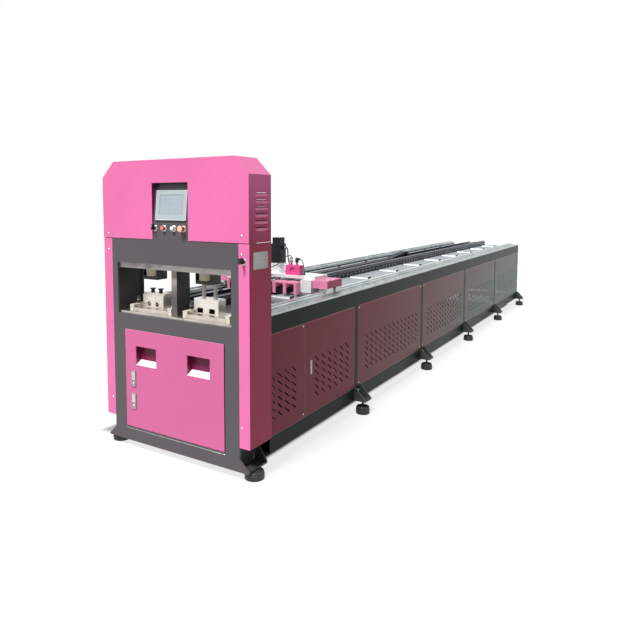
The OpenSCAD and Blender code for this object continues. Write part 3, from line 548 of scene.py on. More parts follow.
def at(x, y, z):
    """A point from millimetres: across, back from the front of the head, and up."""
    return Vector((x * MM, HEAD_FRONT + y * MM, z * MM))


def back_of(y):
    """A place along the bed as millimetres back from the front of the head."""
    return (y - HEAD_FRONT) / MM


def stations(first, end, pitch):
    """Evenly spaced places from first up to end."""
    place = first
    while place < end:
        yield place
        place += pitch


def either_side(side, x, inward, outward):
    """Low and high X of a band about a plane that both sides of the machine have."""
    return sorted((side * (x - inward), side * (x + outward)))


def hexagon(apothem, angle):
    """Radius of a hexagon at an angle from one of its corners."""
    return apothem / math.cos(math.radians((math.degrees(angle) % 60) - 30))


class Piece:
    """Collects solids in the row frame, then becomes one object that rides on a body."""

    def __init__(self, name, finish, slot, body="machine"):
        self.name, self.finish, self.slot, self.body = name, finish, slot, body
        self.mesh = bmesh.new()

    def skin(self, loops, closed=True):
        """Joins loops of points with quads, and closes the first and last loop."""
        rows = [[self.mesh.verts.new(p) for p in loop] for loop in loops]
        count = len(rows[0])
        for low, high in zip(rows, rows[1:]):
            for k in range(count):
                self.mesh.faces.new((low[k], low[(k + 1) % count], high[(k + 1) % count], high[k]))
        if closed:
            self.mesh.faces.new(rows[0][::-1])
            self.mesh.faces.new(rows[-1])

    def turned(self, foot, axis, profile, sides=24):
        """Turns a profile of (radius, height) in mm about an axis. A third item, HEX, makes it a hexagon."""
        turn = Z.rotation_difference(axis)
        loops = []
        for radius, height, *form in profile:
            loop = []
            for k in range(sides):
                angle = 2 * math.pi * k / sides
                r = hexagon(radius, angle) if form else radius
                loop.append(foot + turn @ (Vector((r * math.cos(angle), r * math.sin(angle), height)) * MM))
            loops.append(loop)
        self.skin(loops)

    def cap_screw(self, foot, axis, d):
        """Socket head cap screw, standing on a surface."""
        r, h = d * 0.75, d * 0.55
        self.turned(foot, axis, [(r, 0), (r, h - 0.6), (r - 0.6, h), (d * 0.42, h, HEX), (d * 0.40, h * 0.35, HEX)])

    def button_screw(self, foot, axis, d):
        """Low domed head with a socket."""
        r = d * 0.9
        self.turned(foot, axis, [(r, 0), (r * 0.97, d * 0.16), (r * 0.82, d * 0.36), (r * 0.6, d * 0.48),
                                 (d * 0.36, d * 0.5, HEX), (d * 0.34, d * 0.2, HEX)])

    def flush_screw(self, foot, axis, d):
        """Screw sunk almost level with its surface, in a shallow rim."""
        self.turned(foot, axis, [(d, 0), (d, 0.7), (d * 0.9, 0.9), (d * 0.46, 0.9, HEX), (d * 0.42, 0.2, HEX)])

    def hex_bolt(self, foot, axis, d):
        """Hexagon head over a washer."""
        self.turned(foot, axis, [(d * 1.1, 0), (d * 1.1, d * 0.12), (d * 0.84, d * 0.13, HEX),
                                 (d * 0.84, d * 0.62, HEX), (d * 0.74, d * 0.72)])

    def block(self, low, high, round_by=0.8):
        """Box with rounded edges."""
        made = bmesh.ops.create_cube(self.mesh, size=1.0)["verts"]
        size, centre = high - low, (low + high) / 2
        bmesh.ops.transform(self.mesh, matrix=Matrix.Translation(centre) @ Matrix.Diagonal((*size, 1)), verts=made)
        edges = list({e for v in made for e in v.link_edges})
        bmesh.ops.bevel(self.mesh, geom=edges, offset=round_by * MM, segments=2, profile=0.5, affect="EDGES")

    def prism(self, outline, along):
        """Stretches a flat outline of points along a vector."""
        self.skin([outline, [p + along for p in outline]])

    def done(self, sharp=35):
        bmesh.ops.recalc_face_normals(self.mesh, faces=self.mesh.faces)
        data = bpy.data.meshes.new(self.name)
        self.mesh.to_mesh(data)
        self.mesh.free()
        for face in data.polygons:
            face.use_smooth = True
        data.set_sharp_from_angle(angle=math.radians(sharp))
        data.materials.append(self.finish)
        made = bpy.data.objects.new(self.name, data)
        bpy.context.scene.collection.objects.link(made)
        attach(made, self.body)
        return made


def smooth_path(points, per_span=8):
    """A smooth curve through points."""
    points = [points[0] * 2 - points[1]] + list(points) + [points[-1] * 2 - points[-2]]
    path = []
    for a, b, c, d in zip(points, points[1:], points[2:], points[3:]):
        for k in range(per_span):
            t = k / per_span
            path.append(0.5 * (2 * b + (c - a) * t + (2 * a - 5 * b + 4 * c - d) * t * t
                               + (3 * b - 3 * c + d - a) * t ** 3))
    return path + [points[-2]]


def hose(name, points, diameter, body):
    """A hose or cable from one fitting of the machine to another, through points in mm."""
    path = smooth_path([at(*p) for p in points])
    curve = bpy.data.curves.new(name, "CURVE")
    curve.dimensions = "3D"
    curve.bevel_depth = diameter / 2 * MM
    curve.bevel_resolution = 3
    curve.use_fill_caps = True
    spline = curve.splines.new("POLY")
    spline.points.add(len(path) - 1)
    for point, place in zip(spline.points, path):
        point.co = (*place, 1)
    curve.materials.append(hose_rubber)
    made = bpy.data.objects.new(name, curve)
    bpy.context.scene.collection.objects.link(made)
    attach(made, body)
    length = sum((b - a).length for a, b in zip(path, path[1:]))
    tuple(path[0])
    return made


# ---------------------------------------------------------------- air hoses and motor cable

DECK = STRIPS[1].z / MM
BRIDGE_TOP = GEARBOX[0].z / MM
CYLINDER_TOP = AIR_CYLINDERS[1].z / MM
FITTING_Y = back_of(middle(AIR_CYLINDERS).y)

hose("air_hose_right_outer", [
    (RIGHT_X + 34, FITTING_Y, CYLINDER_TOP + 20), (RIGHT_X + 52, FITTING_Y, CYLINDER_TOP + 19),
    (RIGHT_X + 64, FITTING_Y + 6, CYLINDER_TOP + 2), (RIGHT_X + 68, FITTING_Y + 14, CYLINDER_TOP - 40),
    (RIGHT_X + 68, FITTING_Y + 20, BRIDGE_TOP + 18)], 6, "carriage")
hose("air_hose_right_inner", [
    (RIGHT_X - 22, FITTING_Y, CYLINDER_TOP + 27), (RIGHT_X - 26, FITTING_Y - 6, CYLINDER_TOP + 42),
    (RIGHT_X - 50, FITTING_Y - 30, CYLINDER_TOP + 34), (RIGHT_X - 90, FITTING_Y - 56, CYLINDER_TOP - 12),
    (RIGHT_X - 150, FITTING_Y - 62, CYLINDER_TOP - 40), (RIGHT_X - 215, FITTING_Y - 50, BRIDGE_TOP + 22),
    (RIGHT_X - 243, FITTING_Y - 44, BRIDGE_TOP + 20)], 6, "carriage")
hose("air_hose_left_inner", [
    (LEFT_X + 22, FITTING_Y, CYLINDER_TOP + 27), (LEFT_X + 26, FITTING_Y - 4, CYLINDER_TOP + 42),
    (LEFT_X + 52, FITTING_Y - 10, CYLINDER_TOP + 34), (LEFT_X + 84, FITTING_Y - 10, CYLINDER_TOP - 10),
    (LEFT_X + 112, FITTING_Y - 8, BRIDGE_TOP + 50), (LEFT_X + 118, FITTING_Y - 8, BRIDGE_TOP + 36)], 6, "carriage")
hose("air_hose_left_outer", [
    (LEFT_X - 22, FITTING_Y, CYLINDER_TOP + 27), (LEFT_X - 24, FITTING_Y + 4, CYLINDER_TOP + 42),
    (LEFT_X - 10, FITTING_Y + 34, CYLINDER_TOP + 44), (LEFT_X + 40, FITTING_Y + 62, CYLINDER_TOP + 6),
    (LEFT_X + 92, FITTING_Y + 40, BRIDGE_TOP + 56), (LEFT_X + 118, FITTING_Y + 14, BRIDGE_TOP + 44),
    (LEFT_X + 118, FITTING_Y + 8, BRIDGE_TOP + 36)], 6, "carriage")

MOTOR_Y = back_of(middle(MOTOR).y)
MOTOR_X = MOTOR[0].x / MM + 40
PLUG_Z = 1148
hose("motor_cable", [
    (MOTOR_X + 57, MOTOR_Y, PLUG_Z), (MOTOR_X + 68, MOTOR_Y + 1, 1146), (MOTOR_X + 74, MOTOR_Y + 4, 1130),
    (MOTOR_X + 72, MOTOR_Y + 12, 1080), (MOTOR_X + 76, MOTOR_Y + 26, 1026), (MOTOR_X + 84, MOTOR_Y + 32, 992)],
    9, "carriage")

# ---------------------------------------------------------------- fasteners and fittings of the head

FRONT = -Y
HOOD_SCREWS = ((-493, 1280), (489, 1295))
COVER_SCREWS = ((-496, 1187), (486, 1198), (-488, 288), (482, 290))
screws = Piece("cover_screws", zinc, "zinc")
for x, z in HOOD_SCREWS:
    screws.button_screw(at(x, -3, z), FRONT, 8)
for x, z in COVER_SCREWS:
    screws.button_screw(at(x, 0, z), FRONT, 8)
screws.done()

# A bare plate on the right cover, with a raised rim and four rivets
HOOD_SIDE = 535
RIM_Y0, RIM_Y1, RIM_Z0, RIM_Z1, RIM_WIDTH = 40, 160, 1126, 1203, 1.2
nameplate_metal = machined("nameplate_metal", rgb(150, 151, 150), 0.5, "Y", wear=0.08).done()
plate = Piece("nameplate", nameplate_metal, "aluminium")
plate.block(at(HOOD_SIDE, RIM_Y0 - 6, RIM_Z0 - 6), at(HOOD_SIDE + 1.0, RIM_Y1 + 6, RIM_Z1 + 6), 0.3)
for y0, y1, z0, z1 in ((RIM_Y0, RIM_Y1, RIM_Z0, RIM_Z0 + RIM_WIDTH), (RIM_Y0, RIM_Y1, RIM_Z1 - RIM_WIDTH, RIM_Z1),
                       (RIM_Y0, RIM_Y0 + RIM_WIDTH, RIM_Z0, RIM_Z1), (RIM_Y1 - RIM_WIDTH, RIM_Y1, RIM_Z0, RIM_Z1)):
    plate.block(at(HOOD_SIDE + 0.8, y0, z0), at(HOOD_SIDE + 1.5, y1, z1), 0.15)
for z in (RIM_Z0 - 2.5, RIM_Z1 + 2.5):
    for y in (RIM_Y0 - 2.5, RIM_Y1 + 2.5):
        plate.turned(at(HOOD_SIDE + 0.9, y, z), X, [(2.2, 0), (2.0, 0.7), (1.2, 1.3), (0.3, 1.5)], 16)
plate.done()

# Louvres: pressed lips that swell out of the hood's sides, lighter pink as painted highlight, each over its gap, a dark
# block painted as shade
HOOD_LOW = HOOD[0].z / MM
HOOD_H = HOOD[1].z / MM - HOOD_LOW
LOUVRES, LOUVRE_STEPS, LOUVRE_DEPTH = 6, 20, 11.0
FIRST_LOUVRE, LOUVRE_PITCH = 0.134 * HOOD_H, 0.0794 * HOOD_H
LIP = [(-1.0, 1.0), (0.0, 0.0), (0.55, 3.0), (0.9, 7.5), (1.0, 12.0), (0.96, 14.5), (0.86, 15.5), (0.72, 15.0),
       (0.66, 12.5), (0.5, 8.0), (0.2, 4.0), (-1.0, 3.0)]


def louvre_loop(side, foot, t):
    """The lip's section at a share t of its length, in mm."""
    swell = math.sin(math.pi * t) ** 0.3 if 0 < t < 1 else 0.0
    return [at(side * (HOOD_SIDE + (out * LOUVRE_DEPTH * swell if out > 0 else out)), 54 + t * 112,
               foot + up * (0.5 + 0.5 * swell) + 6 * (1 - swell)) for out, up in LIP]


louvre_lit_paint = powder_coat("louvre_lit_paint", rgb(250, 142, 186), specular=0.3, edge=1.5).done()
louvres = Piece("hood_louvres", louvre_lit_paint, "hood_pink")
# The gaps: dark blocks that stand for painted shade
slots = Piece("louvre_slots", powder_coat("louvre_gap_shade", rgb(62, 10, 32), specular=0.1).done(), "hood_pink")
for side in SIDES:
    near, far = either_side(side, HOOD_SIDE, 0, 0.5)
    for k in range(LOUVRES):
        foot = HOOD_LOW + FIRST_LOUVRE + LOUVRE_PITCH * k
        louvres.skin([louvre_loop(side, foot, step / LOUVRE_STEPS) for step in range(LOUVRE_STEPS + 1)])
        slots.block(at(near, 58, foot + 14), at(far, 162, foot + 20), 0.2)
louvres.done()
slots.done()

# The control screen: a rim, a frame round the pane, a dark strip under it as painted shadow, and a ready lamp
TILT = math.radians(6)


def on_screen(x, depth, up):
    """A point on the control screen: across, behind its face, and up from its foot."""
    return at(x, depth * math.cos(TILT) + up * math.sin(TILT),
              HMI_Z - depth * math.sin(TILT) + up * math.cos(TILT))


def screen_ring(piece, x, z0, z1, depth0, depth1, width):
    """A flat frame round a rectangle on the screen."""
    loops = []
    for inset, depth in ((0, depth1), (0, depth0), (width, depth0), (width, depth1)):
        loops.append([on_screen(-x + inset, depth, z0 + inset), on_screen(x - inset, depth, z0 + inset),
                      on_screen(x - inset, depth, z1 - inset), on_screen(-x + inset, depth, z1 - inset)])
    loops.append(loops[0])
    piece.skin(loops, closed=False)


pane_look = Finish("screen_glass", rgb(168, 178, 186), 0.10, specular=0.5)
pane_look.unevenness(9.0, 0.05)
pane_look.unevenness(160.0, 0.015)
pane_look.roughen(24.0, 0.10)
pane_look.grain(500.0, 0.004 * MM)
screen_glass = pane_look.done()

PANE_X, PANE_LOW, PANE_HIGH = 84, 0.2 * HMI_H + 4, 0.86 * HMI_H - 4
frame_ring = Piece("screen_frame", moulded("screen_frame_plastic", rgb(158, 166, 172), 0.4).done(), "hmi_plastic")
screen_ring(frame_ring, 88, 0.2 * HMI_H, 0.86 * HMI_H, 0.6, 2.2, 4.0)
frame_ring.done()
rim = Piece("screen_rim", moulded("screen_rim_plastic", rgb(226, 232, 234), 0.3).done(), "hmi_plastic")
screen_ring(rim, 113, 1, HMI_H - 1, -1.0, 0.4, 3.0)
rim.done()
# A black strip under the screen, standing for its painted shadow
SHADOW_STRIP = ((-0.6, -0.3), (-0.6, -5.0), (5.0, -5.0), (5.0, -0.3))
shadow_strip = Piece("screen_shadow_strip", black_plastic, "black_plastic")
shadow_strip.skin([[on_screen(x, depth, up) for depth, up in SHADOW_STRIP] for x in (-112, 112)])
shadow_strip.done()
pane = Piece("screen_pane", screen_glass, "hmi_plastic")
pane.prism([on_screen(-PANE_X, 2.1, PANE_LOW), on_screen(PANE_X, 2.1, PANE_LOW),
            on_screen(PANE_X, 2.1, PANE_HIGH), on_screen(-PANE_X, 2.1, PANE_HIGH)],
           on_screen(0, 1.3, 0) - on_screen(0, 2.1, 0))
pane.done()
lamp = Piece("screen_lamp", moulded("ready_lamp", rgb(96, 170, 110), 0.2).done(), "hmi_plastic")
lamp.turned(on_screen(60, 0.2, 0.10 * HMI_H), on_screen(0, -1, 0) - on_screen(0, 0, 0),
            [(2.4, 0), (2.4, 0.5), (1.6, 1.1), (0.4, 1.3)], 16)
lamp.done()

# Switches: lenses on the buttons, the stop lens and the emergency button's face pale as painted highlight on red,
# collars and white pointers
SELECTOR_X, STOP_X, START_X, EMERGENCY_X = -114, -46, 26, 97
SIDE_SELECTOR_X, SIDE_SELECTOR_Z = 499, HOOD_LOW - 95
CONTROL_Z = middle(START).z / MM
LENS = [(11.4, -0.4), (11.4, 1.4), (10.6, 2.6), (8.2, 3.5), (4.2, 4.1), (0.6, 4.3)]
for name, x, body, finish, slot_name in (("start_lens", START_X, "start", white_plastic, "white_plastic"),
                                         ("stop_lens", STOP_X, "stop", red_lens_painted_glint, "red_plastic")):
    lens = Piece(name, finish, slot_name, body)
    lens.turned(at(x, back_of(START[0].y), CONTROL_Z), FRONT, LENS, 32)
    lens.done()
cap = Piece("emergency_face", red_cap_painted_glint, "red_plastic", "emergency")
cap.turned(at(EMERGENCY_X, -32.4, CONTROL_Z), FRONT, [(17.6, -1.4), (17.2, -0.2), (14, 0.9), (8, 1.5), (1, 1.7)], 32)
cap.done()
COLLAR = [(18.5, 0), (18.5, 1.2), (17.5, 2.4), (15.6, 2.6), (15.6, 0)]
INNER_COLLAR = [(15.5, -0.2), (15.3, 1.4), (14.2, 2.4), (13.0, 2.5), (13.0, -0.2)]
rings = Piece("switch_collars", zinc, "zinc")
for x in (SELECTOR_X, STOP_X, START_X, EMERGENCY_X):
    rings.turned(at(x, -0.2, CONTROL_Z), FRONT, COLLAR, 32)
    rings.turned(at(x, -5.0, CONTROL_Z), FRONT, INNER_COLLAR, 32)
rings.turned(at(SIDE_SELECTOR_X, -0.2, SIDE_SELECTOR_Z), FRONT, COLLAR, 32)
rings.done()
pointer = Piece("selector_pointers", white_plastic, "white_plastic", "selector")
pointer.block(at(SELECTOR_X - 1.2, -30.6, CONTROL_Z + 4), at(SELECTOR_X + 1.2, -29.8, CONTROL_Z + 19), 0.2)
pointer.done()
pointer = Piece("side_selector_pointer", white_plastic, "white_plastic", "side_selector")
pointer.block(at(SIDE_SELECTOR_X - 1.2, -41.8, SIDE_SELECTOR_Z + 4),
              at(SIDE_SELECTOR_X + 1.2, -41.4, SIDE_SELECTOR_Z + 19), 0.2)
pointer.done()

# The door's two latches: a lock barrel and a lever plate each
LATCH_X, LATCH_FEET = -306, (381, 247)
latches = Piece("latch_buttons", zinc, "zinc", "door")
for z in LATCH_FEET:
    latches.turned(at(LATCH_X, -4.2, z + 22), FRONT, [(7.2, 0), (7.2, 1.6), (6.4, 2.4), (1.6, 2.4), (1.4, 1.2)], 32)
    latches.block(at(LATCH_X - 13, -6.7, z + 42), at(LATCH_X + 13, -5.6, z + 90), 0.5)
latches.done()

# Edge of the plate's opening under the door: a zinc strip, partly bare worn edge and partly painted highlight
sill_highlight = Piece("door_sill_highlight", zinc, "frame_grey")
door_foot = DOOR[0].z / MM
sill_highlight.block(at(DOOR[0].x / MM - 2, -1.2, door_foot - 5.4), at(DOOR[1].x / MM + 2, 0.4, door_foot - 3.0), 0.4)
sill_highlight.done()

# The dies' bolts, their bases' screws, and washers on the strap clamps' studs at both ends of a base
BASES = ((LEFT_X - 105, LEFT_X + 172), (RIGHT_X - 94, RIGHT_X + 183))
bolts = Piece("die_bolts", black_oxide, "black_steel")
for x in (LEFT_X - 72, LEFT_X + 72):
    bolts.cap_screw(at(x, 106, DIE_LEFT[1].z / MM - 17), Z, 5.6)
for x in (RIGHT_X - 75, RIGHT_X + 75):
    bolts.cap_screw(at(x, 133, DIE_RIGHT[1].z / MM - 9), Z, 7)
for left, right in BASES:
    for x in (left + 12, right - 12):
        for y in (54, 174):
            bolts.flush_screw(at(x, y, 845), Z, 8)
bolts.done()
plates = Piece("clamp_washers", zinc, "zinc")
for left, right in BASES:
    for x in (left - 14, right + 14):
        for z in (861, 882):
            plates.turned(at(x, 100, z), Z, [(14.5, 0), (14.5, 1.6), (13.8, 2.0), (11.6, 2.0)], 24)
plates.done()

# Bolts of the head's frame, seen from behind
frame_bolts = Piece("frame_bolts", black_oxide, "black_steel")
for x in (-410, -140, 140, 410):
    for z in (110, 600, 1500):
        frame_bolts.hex_bolt(at(x, 200, z), Y, 10)
frame_bolts.done()

# ---------------------------------------------------------------- fasteners of the bed

BED_NEAR, BED_FAR = back_of(BED_LOW.y), back_of(BED_HIGH.y)
HALF_BED = BED_HIGH.x / MM
GUIDE_X = HALF_BED - 97
PANEL_X = PANELS[1].x / MM
BAYS, FIRST_BAY, PANELS_MEET = 4, 200, 571
posts = [FIRST_BAY] + [1250 + 1310 * k for k in range(BAYS)] + [BED_FAR - 60]
feet_y = [min(post, BED_FAR - 92) + 40 for post in posts[1:]]

strip_bolts = Piece("strip_bolts", black_oxide, "black_steel")
for side in SIDES:
    for y in stations(BED_NEAR + 60, BED_FAR - 20, 200):
        strip_bolts.flush_screw(at(side * 484, y, DECK), Z, 7)
        strip_bolts.flush_screw(at(side * 405, y + 100 if y + 120 < BED_FAR else y, DECK), Z, 6)
strip_bolts.done()

beam_bolts = Piece("beam_bolts", zinc, "zinc")
for y in stations(BED_NEAR + 40, BED_FAR - 60, 75):
    beam_bolts.cap_screw(at(65, y, 862), X, 7)
beam_bolts.done()

rack_bolts = Piece("rack_bolts", black_oxide, "black_steel")
for y in stations(back_of(RACK[0].y) + 60, back_of(RACK[1].y) - 30, 120):
    rack_bolts.turned(at(54, y, RACK[1].z / MM), Z, [(5.4, 0), (5.4, 0.35), (3.0, 0.35, HEX), (3.0, 0.1, HEX)], 24)
rack_bolts.done()

rail_plugs = Piece("rail_plugs", grey_plastic, "black_plastic")
for side in SIDES:
    for y in stations(BED_NEAR + 30, BED_FAR - 20, 60):
        rail_plugs.turned(at(side * GUIDE_X, y, 885), Z, [(5.6, -0.4), (5.6, 0.1), (4.6, 0.18), (0.5, 0.06)], 16)
rail_plugs.done()

panel_screws = Piece("panel_screws", zinc, "zinc")
first_panel, second_panel = (FIRST_BAY, PANELS_MEET - 1), (PANELS_MEET + 1, 1250)
panel_spans = [first_panel, second_panel] + [(posts[k + 1] + 50, posts[k + 2]) for k in range(BAYS)]
for side in SIDES:
    for span in panel_spans:
        ends = (span[0] + 16, span[1] - 16)
        if span == first_panel:
            ends = (span[1] - 12,)
        elif span == second_panel:
            ends = ()
        for y in ends:
            for z in (204, 735):
                panel_screws.button_screw(at(side * PANEL_X, y, z), X * side, 6)
panel_screws.done()

# Pale bars along the side panels' bent edges: painted highlight where the edges catch light
RIM_LOW, RIM_HIGH, RIM_BAR = 180.4, 749.6, 3.6
panel_rim_highlight_paint = powder_coat("panel_rim_highlight_paint", rgb(150, 112, 118), roughness=0.3, specular=0.3).done()
rims = Piece("panel_rims", panel_rim_highlight_paint, "panel_paint")
for side in SIDES:
    near, far = either_side(side, PANEL_X, 0.4, 0.9)
    for y0, y1 in panel_spans:
        for z in (RIM_HIGH - RIM_BAR, RIM_LOW):
            rims.block(at(near, y0 + 1, z), at(far, y1 - 1, z + RIM_BAR), 0.3)
        for y in (y0 + 1, y1 - 4):
            if y > FIRST_BAY + 4:
                rims.block(at(near, y, RIM_LOW + 3.8), at(far, y + 3, RIM_HIGH - 3.8), 0.3)
rims.done()

# Covers on the ears of the roller trays, at both ends of each roller pair
EARS_X = (LEFT_X - 81, LEFT_X + 71, RIGHT_X - 77, RIGHT_X + 101)
ears = Piece("roller_ear_covers", black_plastic, "black_plastic")
for k in range(1, 11):
    low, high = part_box(f"roller_{k}")
    y, z = back_of(middle((low, high)).y), high.z / MM
    for x in EARS_X:
        ears.block(at(x - 4, y - 21, z - 12), at(x + 4, y + 21, z + 5), 1.5)
ears.done()

locks = Piece("panel_locks", white_plastic, "white_plastic")
for side in SIDES:
    near, far = either_side(side, PANEL_X, 0, 2.4)
    locks.block(at(near, 641, 427), at(far, 659, 514), 0.8)
    locks.turned(at(side * (PANEL_X + 2.2), 650, 447), X * side,
                 [(5, 0), (5, 0.8), (4.4, 1.2), (1.2, 1.2), (1.0, 0.6)], 24)
locks.done()

foot_bolts = Piece("bracket_bolts", zinc, "zinc")
for side in SIDES:
    for y in feet_y:
        for dy in (-24, 24):
            foot_bolts.hex_bolt(at(side * HALF_BED, y + dy, 150), X * side, 10)
foot_bolts.done()

# Rubber boots round the feet's pads: shares of the radius, and heights in mm
BOOT = [(0.97, 0), (1.0, 3), (1.0, 34), (0.97, 38), (0.94, 39), (0.94, 47), (0.88, 51), (0.3, 54)]
BED_BOOT, HEAD_BOOT = 48, 54
HEAD_FOOT_X = HOOD[1].x / MM - 30
boots = Piece("foot_boots", foot_rubber, "rubber_black")
for side in SIDES:
    for y in feet_y:
        boots.turned(at(side * (HALF_BED + 46), y, 0.3), Z, [(BED_BOOT * r, z) for r, z in BOOT], 32)
    boots.turned(at(side * HEAD_FOOT_X, 80, 0.3), Z, [(HEAD_BOOT * r, z * 0.86) for r, z in BOOT], 32)
boots.done()

# ---------------------------------------------------------------- carriage

ARM_TOP = ARMS[1].z / MM
ARM_Y0, ARM_Y1 = back_of(ARMS[0].y), back_of(ARMS[1].y)
SUNK_SCREW = [(4.8, 0), (4.8, 5.4), (4.4, 6), (2.5, 6, HEX), (2.4, 2.5, HEX)]
arm_screws = Piece("arm_screws", black_oxide, "black_steel", "carriage")
for side in SIDES:
    for y in (ARM_Y0 + 20, ARM_Y0 + 62, ARM_Y1 - 62, ARM_Y1 - 20):
        for x in (GUIDE_X - 20, GUIDE_X + 20):
            if side > 0 and y in (ARM_Y0 + 20, ARM_Y1 - 20):
                arm_screws.turned(at(x, y, ARM_TOP - 8), Z, SUNK_SCREW)
            else:
                arm_screws.flush_screw(at(side * x, y, ARM_TOP), Z, 6)
for x in (-330, -304, 290, 330):
    for y in (1040, 1156):
        arm_screws.flush_screw(at(x, y, BRIDGE_TOP), Z, 6)
for x in (-38, 36):
    for y in (MOTOR_Y - 38, MOTOR_Y + 38):
        arm_screws.cap_screw(at(x, y, BRIDGE_TOP + 12), Z, 5)
arm_screws.done()

# End seals of the slider blocks, cut out over the rail
SEAL = [(-30, 8), (-13.2, 8), (-13.2, 25.8), (13.2, 25.8), (13.2, 8), (30, 8), (30, 38), (-30, 38)]
seals = Piece("slider_seals", zinc, "bright_steel", "carriage")
for side in SIDES:
    for y, into in ((ARM_Y0 + 2, 1), (ARM_Y0 + 82, -1), (ARM_Y1 - 82, 1), (ARM_Y1 - 2, -1)):
        seals.prism([at(side * GUIDE_X + x, y, DECK + z) for x, z in SEAL], Y * (-3.2 * into) * MM)
seals.done()

valves = Piece("valve_block", black_plastic, "black_plastic", "carriage")
valves.block(at(-142, FITTING_Y - 66, BRIDGE_TOP), at(-84, FITTING_Y + 12, BRIDGE_TOP + 26), 1.5)
for y in (FITTING_Y - 52, FITTING_Y - 26, FITTING_Y):
    valves.block(at(-138, y - 10, BRIDGE_TOP + 25), at(-104, y + 8, BRIDGE_TOP + 34), 1.0)
valves.done()
unions = Piece("air_unions", zinc, "zinc", "carriage")
elbows = Piece("air_elbows", black_plastic, "black_plastic", "carriage")
elbows.turned(at(RIGHT_X + 22, FITTING_Y, CYLINDER_TOP - 4), Z, [(11, 0), (11.6, 2), (11.6, 30), (9, 34), (2, 35)])
elbows.turned(at(RIGHT_X + 26, FITTING_Y, CYLINDER_TOP + 20), X, [(8, 0), (8, 9), (9, 10), (9, 16), (6, 18), (3.1, 18)])
for x in (RIGHT_X - 22, LEFT_X - 22, LEFT_X + 22):
    elbows.turned(at(x, FITTING_Y, CYLINDER_TOP + 20), Z, [(9.0, 0), (9.0, 8), (6.4, 10), (3.1, 10.4)])
    unions.turned(at(x, FITTING_Y, CYLINDER_TOP - 4), Z,
                  [(12, 0, HEX), (12, 12, HEX), (10.4, 12.6), (10.4, 24), (8, 25)])
elbows.turned(at(RIGHT_X + 68, FITTING_Y + 20, BRIDGE_TOP), Z, [(8, 0), (8, 8), (6, 9), (6, 17), (5, 19), (3.1, 19)])
elbows.turned(at(-84, FITTING_Y - 44, BRIDGE_TOP + 20), X, [(6, -2), (6, 5), (5.2, 6), (3.1, 6)])
elbows.done()
unions.done()
gland = Piece("cable_glands", grey_plastic, "black_plastic", "carriage")
gland.turned(at(MOTOR_X + 84, MOTOR_Y + 32, BRIDGE_TOP), Z,
             [(11, 0, HEX), (11, 8, HEX), (9, 9), (9, 15), (8, 20), (4.6, 23)])
gland.turned(at(MOTOR_X + 53, MOTOR_Y, PLUG_Z), X, [(10, -1), (10, 2), (8.5, 3), (8.5, 8), (7.5, 12), (4.6, 14)])
gland.done()

# Screws and bands of the servo motor, whose middle lies 1 mm beside MOTOR_X
BAND_HALF, BAND_CORNER = 40.6, 6
trim = Piece("motor_trim", zinc, "zinc", "carriage")
for dx in (-33, 33):
    for dy in (-33, 33):
        trim.cap_screw(at(MOTOR_X + dx - 1, MOTOR_Y + dy, 1040), -Z, 5)
trim.done()
band = Piece("motor_bands", black_plastic, "black_plastic", "carriage")
short = BAND_HALF - BAND_CORNER
octagon = ((-BAND_HALF, -short), (-short, -BAND_HALF), (short, -BAND_HALF), (BAND_HALF, -short),
           (BAND_HALF, short), (short, BAND_HALF), (-short, BAND_HALF), (-BAND_HALF, short))
for z in (1052, 1128, 1166):
    band.prism([at(MOTOR_X + x - 1, MOTOR_Y + y, z) for x, y in octagon], Z * 2.4 * MM)
band.done()
rotor = Piece("motor_rear_screws", zinc, "zinc", "carriage")
for dx in (-25, 25):
    for dy in (-25, 25):
        rotor.button_screw(at(MOTOR_X + dx - 1, MOTOR_Y + dy, 1218), Z, 4)
rotor.done()


# ---------------------------------------------------------------- light, floor and camera


def make_world():
    """White to the eye and in reflections, and a low even light on everything else."""
    world = bpy.data.worlds.new("studio")
    world.use_nodes = True
    bpy.context.scene.world = world
    tree = world.node_tree
    background = tree.nodes["Background"]
    path = tree.nodes.new("ShaderNodeLightPath").outputs
    mirrored = calculate(tree, "MAXIMUM", path["Is Glossy Ray"], path["Is Transmission Ray"])
    seen = calculate(tree, "MAXIMUM", path["Is Camera Ray"], mirrored)
    strength = tree.nodes.new("ShaderNodeMapRange")
    strength.inputs["To Min"].default_value = 0.16
    strength.inputs["To Max"].default_value = 1.0
    tree.links.new(seen, strength.inputs["Value"])
    tree.links.new(strength.outputs["Result"], background.inputs["Strength"])
    background.inputs["Color"].default_value = (1, 1, 1, 1)


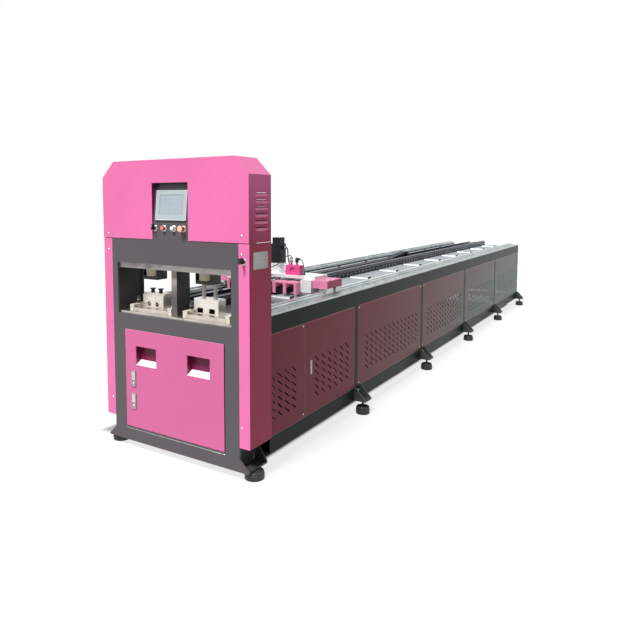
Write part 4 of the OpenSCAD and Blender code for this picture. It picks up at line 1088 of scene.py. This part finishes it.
def make_floor():
    """A white floor that keeps a faint shadow, and a grey lit floor inside the machine's footprint and in a band past
    its left side, its grey a painted shade.
    """
    mesh = bpy.data.meshes.new("floor")
    reach = 60.0
    corners = [(-reach, -reach, 0), (reach, -reach, 0), (reach, reach, 0), (-reach, reach, 0)]
    mesh.from_pydata(corners, [], [(0, 1, 2, 3)])
    floor = bpy.data.objects.new("floor", mesh)
    bpy.context.scene.collection.objects.link(floor)
    material = bpy.data.materials.new("floor_white")
    material.use_nodes = True
    tree = material.node_tree
    shader = tree.nodes["Principled BSDF"]
    shader.inputs["Base Color"].default_value = (0.38, 0.38, 0.38, 1)
    shader.inputs["Roughness"].default_value = 0.9
    shader.inputs["Specular IOR Level"].default_value = 0.0
    white = tree.nodes.new("ShaderNodeEmission")
    lit = tree.nodes.new("ShaderNodeBsdfDiffuse")
    lit.inputs["Color"].default_value = (1, 1, 1, 1)
    shown = tree.nodes.new("ShaderNodeMixShader")
    shown.inputs["Fac"].default_value = 0.2
    tree.links.new(white.outputs[0], shown.inputs[1])
    tree.links.new(lit.outputs[0], shown.inputs[2])

    split = tree.nodes.new("ShaderNodeSeparateXYZ")
    tree.links.new(tree.nodes.new("ShaderNodeNewGeometry").outputs["Position"], split.inputs[0])
    middle_y, half_y = (HEAD_FRONT + BED_HIGH.y) / 2, (BED_HIGH.y - HEAD_FRONT) / 2 - 0.08
    past = []
    # The grey zone reaches past the machine's left side, a painted shadow there.
    for axis, centre, half, soft in (("X", -0.15, 0.59, 0.04), ("Y", middle_y, half_y, 0.05)):
        away = calculate(tree, "ABSOLUTE", calculate(tree, "SUBTRACT", split.outputs[axis], centre))
        past.append(smooth_step(tree, away, half - soft, half))
    outside = calculate(tree, "MAXIMUM", *past)
    path = tree.nodes.new("ShaderNodeLightPath").outputs
    seen = calculate(tree, "MAXIMUM", path["Is Camera Ray"], path["Is Glossy Ray"])
    choice = tree.nodes.new("ShaderNodeMixShader")
    tree.links.new(calculate(tree, "MULTIPLY", seen, outside), choice.inputs["Fac"])
    tree.links.new(shader.outputs[0], choice.inputs[1])
    tree.links.new(shown.outputs[0], choice.inputs[2])
    tree.links.new(choice.outputs[0], tree.nodes["Material Output"].inputs["Surface"])
    mesh.materials.append(material)


def make_sun():
    """Soft light from the front, a little to the left and above."""
    lamp = bpy.data.lights.new("key", "SUN")
    lamp.energy = 4.4
    lamp.angle = math.radians(14)
    sun = bpy.data.objects.new("key", lamp)
    towards_light = Vector((-0.06, -0.55, 0.84))
    sun.rotation_euler = towards_light.to_track_quat("Z", "Y").to_euler()
    bpy.context.scene.collection.objects.link(sun)


def make_camera():
    lens = bpy.data.cameras.new("camera")
    lens.lens = 33.70
    lens.sensor_width = 36.0
    lens.shift_x = 0.0547
    lens.shift_y = -0.1103
    lens.clip_end = 200.0
    camera = bpy.data.objects.new("camera", lens)
    camera.location = (2.3024, -5.6907, 1.466)
    camera.rotation_euler = (math.radians(85.4707), 0, math.radians(32.5338))
    bpy.context.scene.collection.objects.link(camera)
    bpy.context.scene.camera = camera


make_world()
make_floor()
make_sun()
make_camera()
bpy.context.scene.view_settings.view_transform = "Standard"
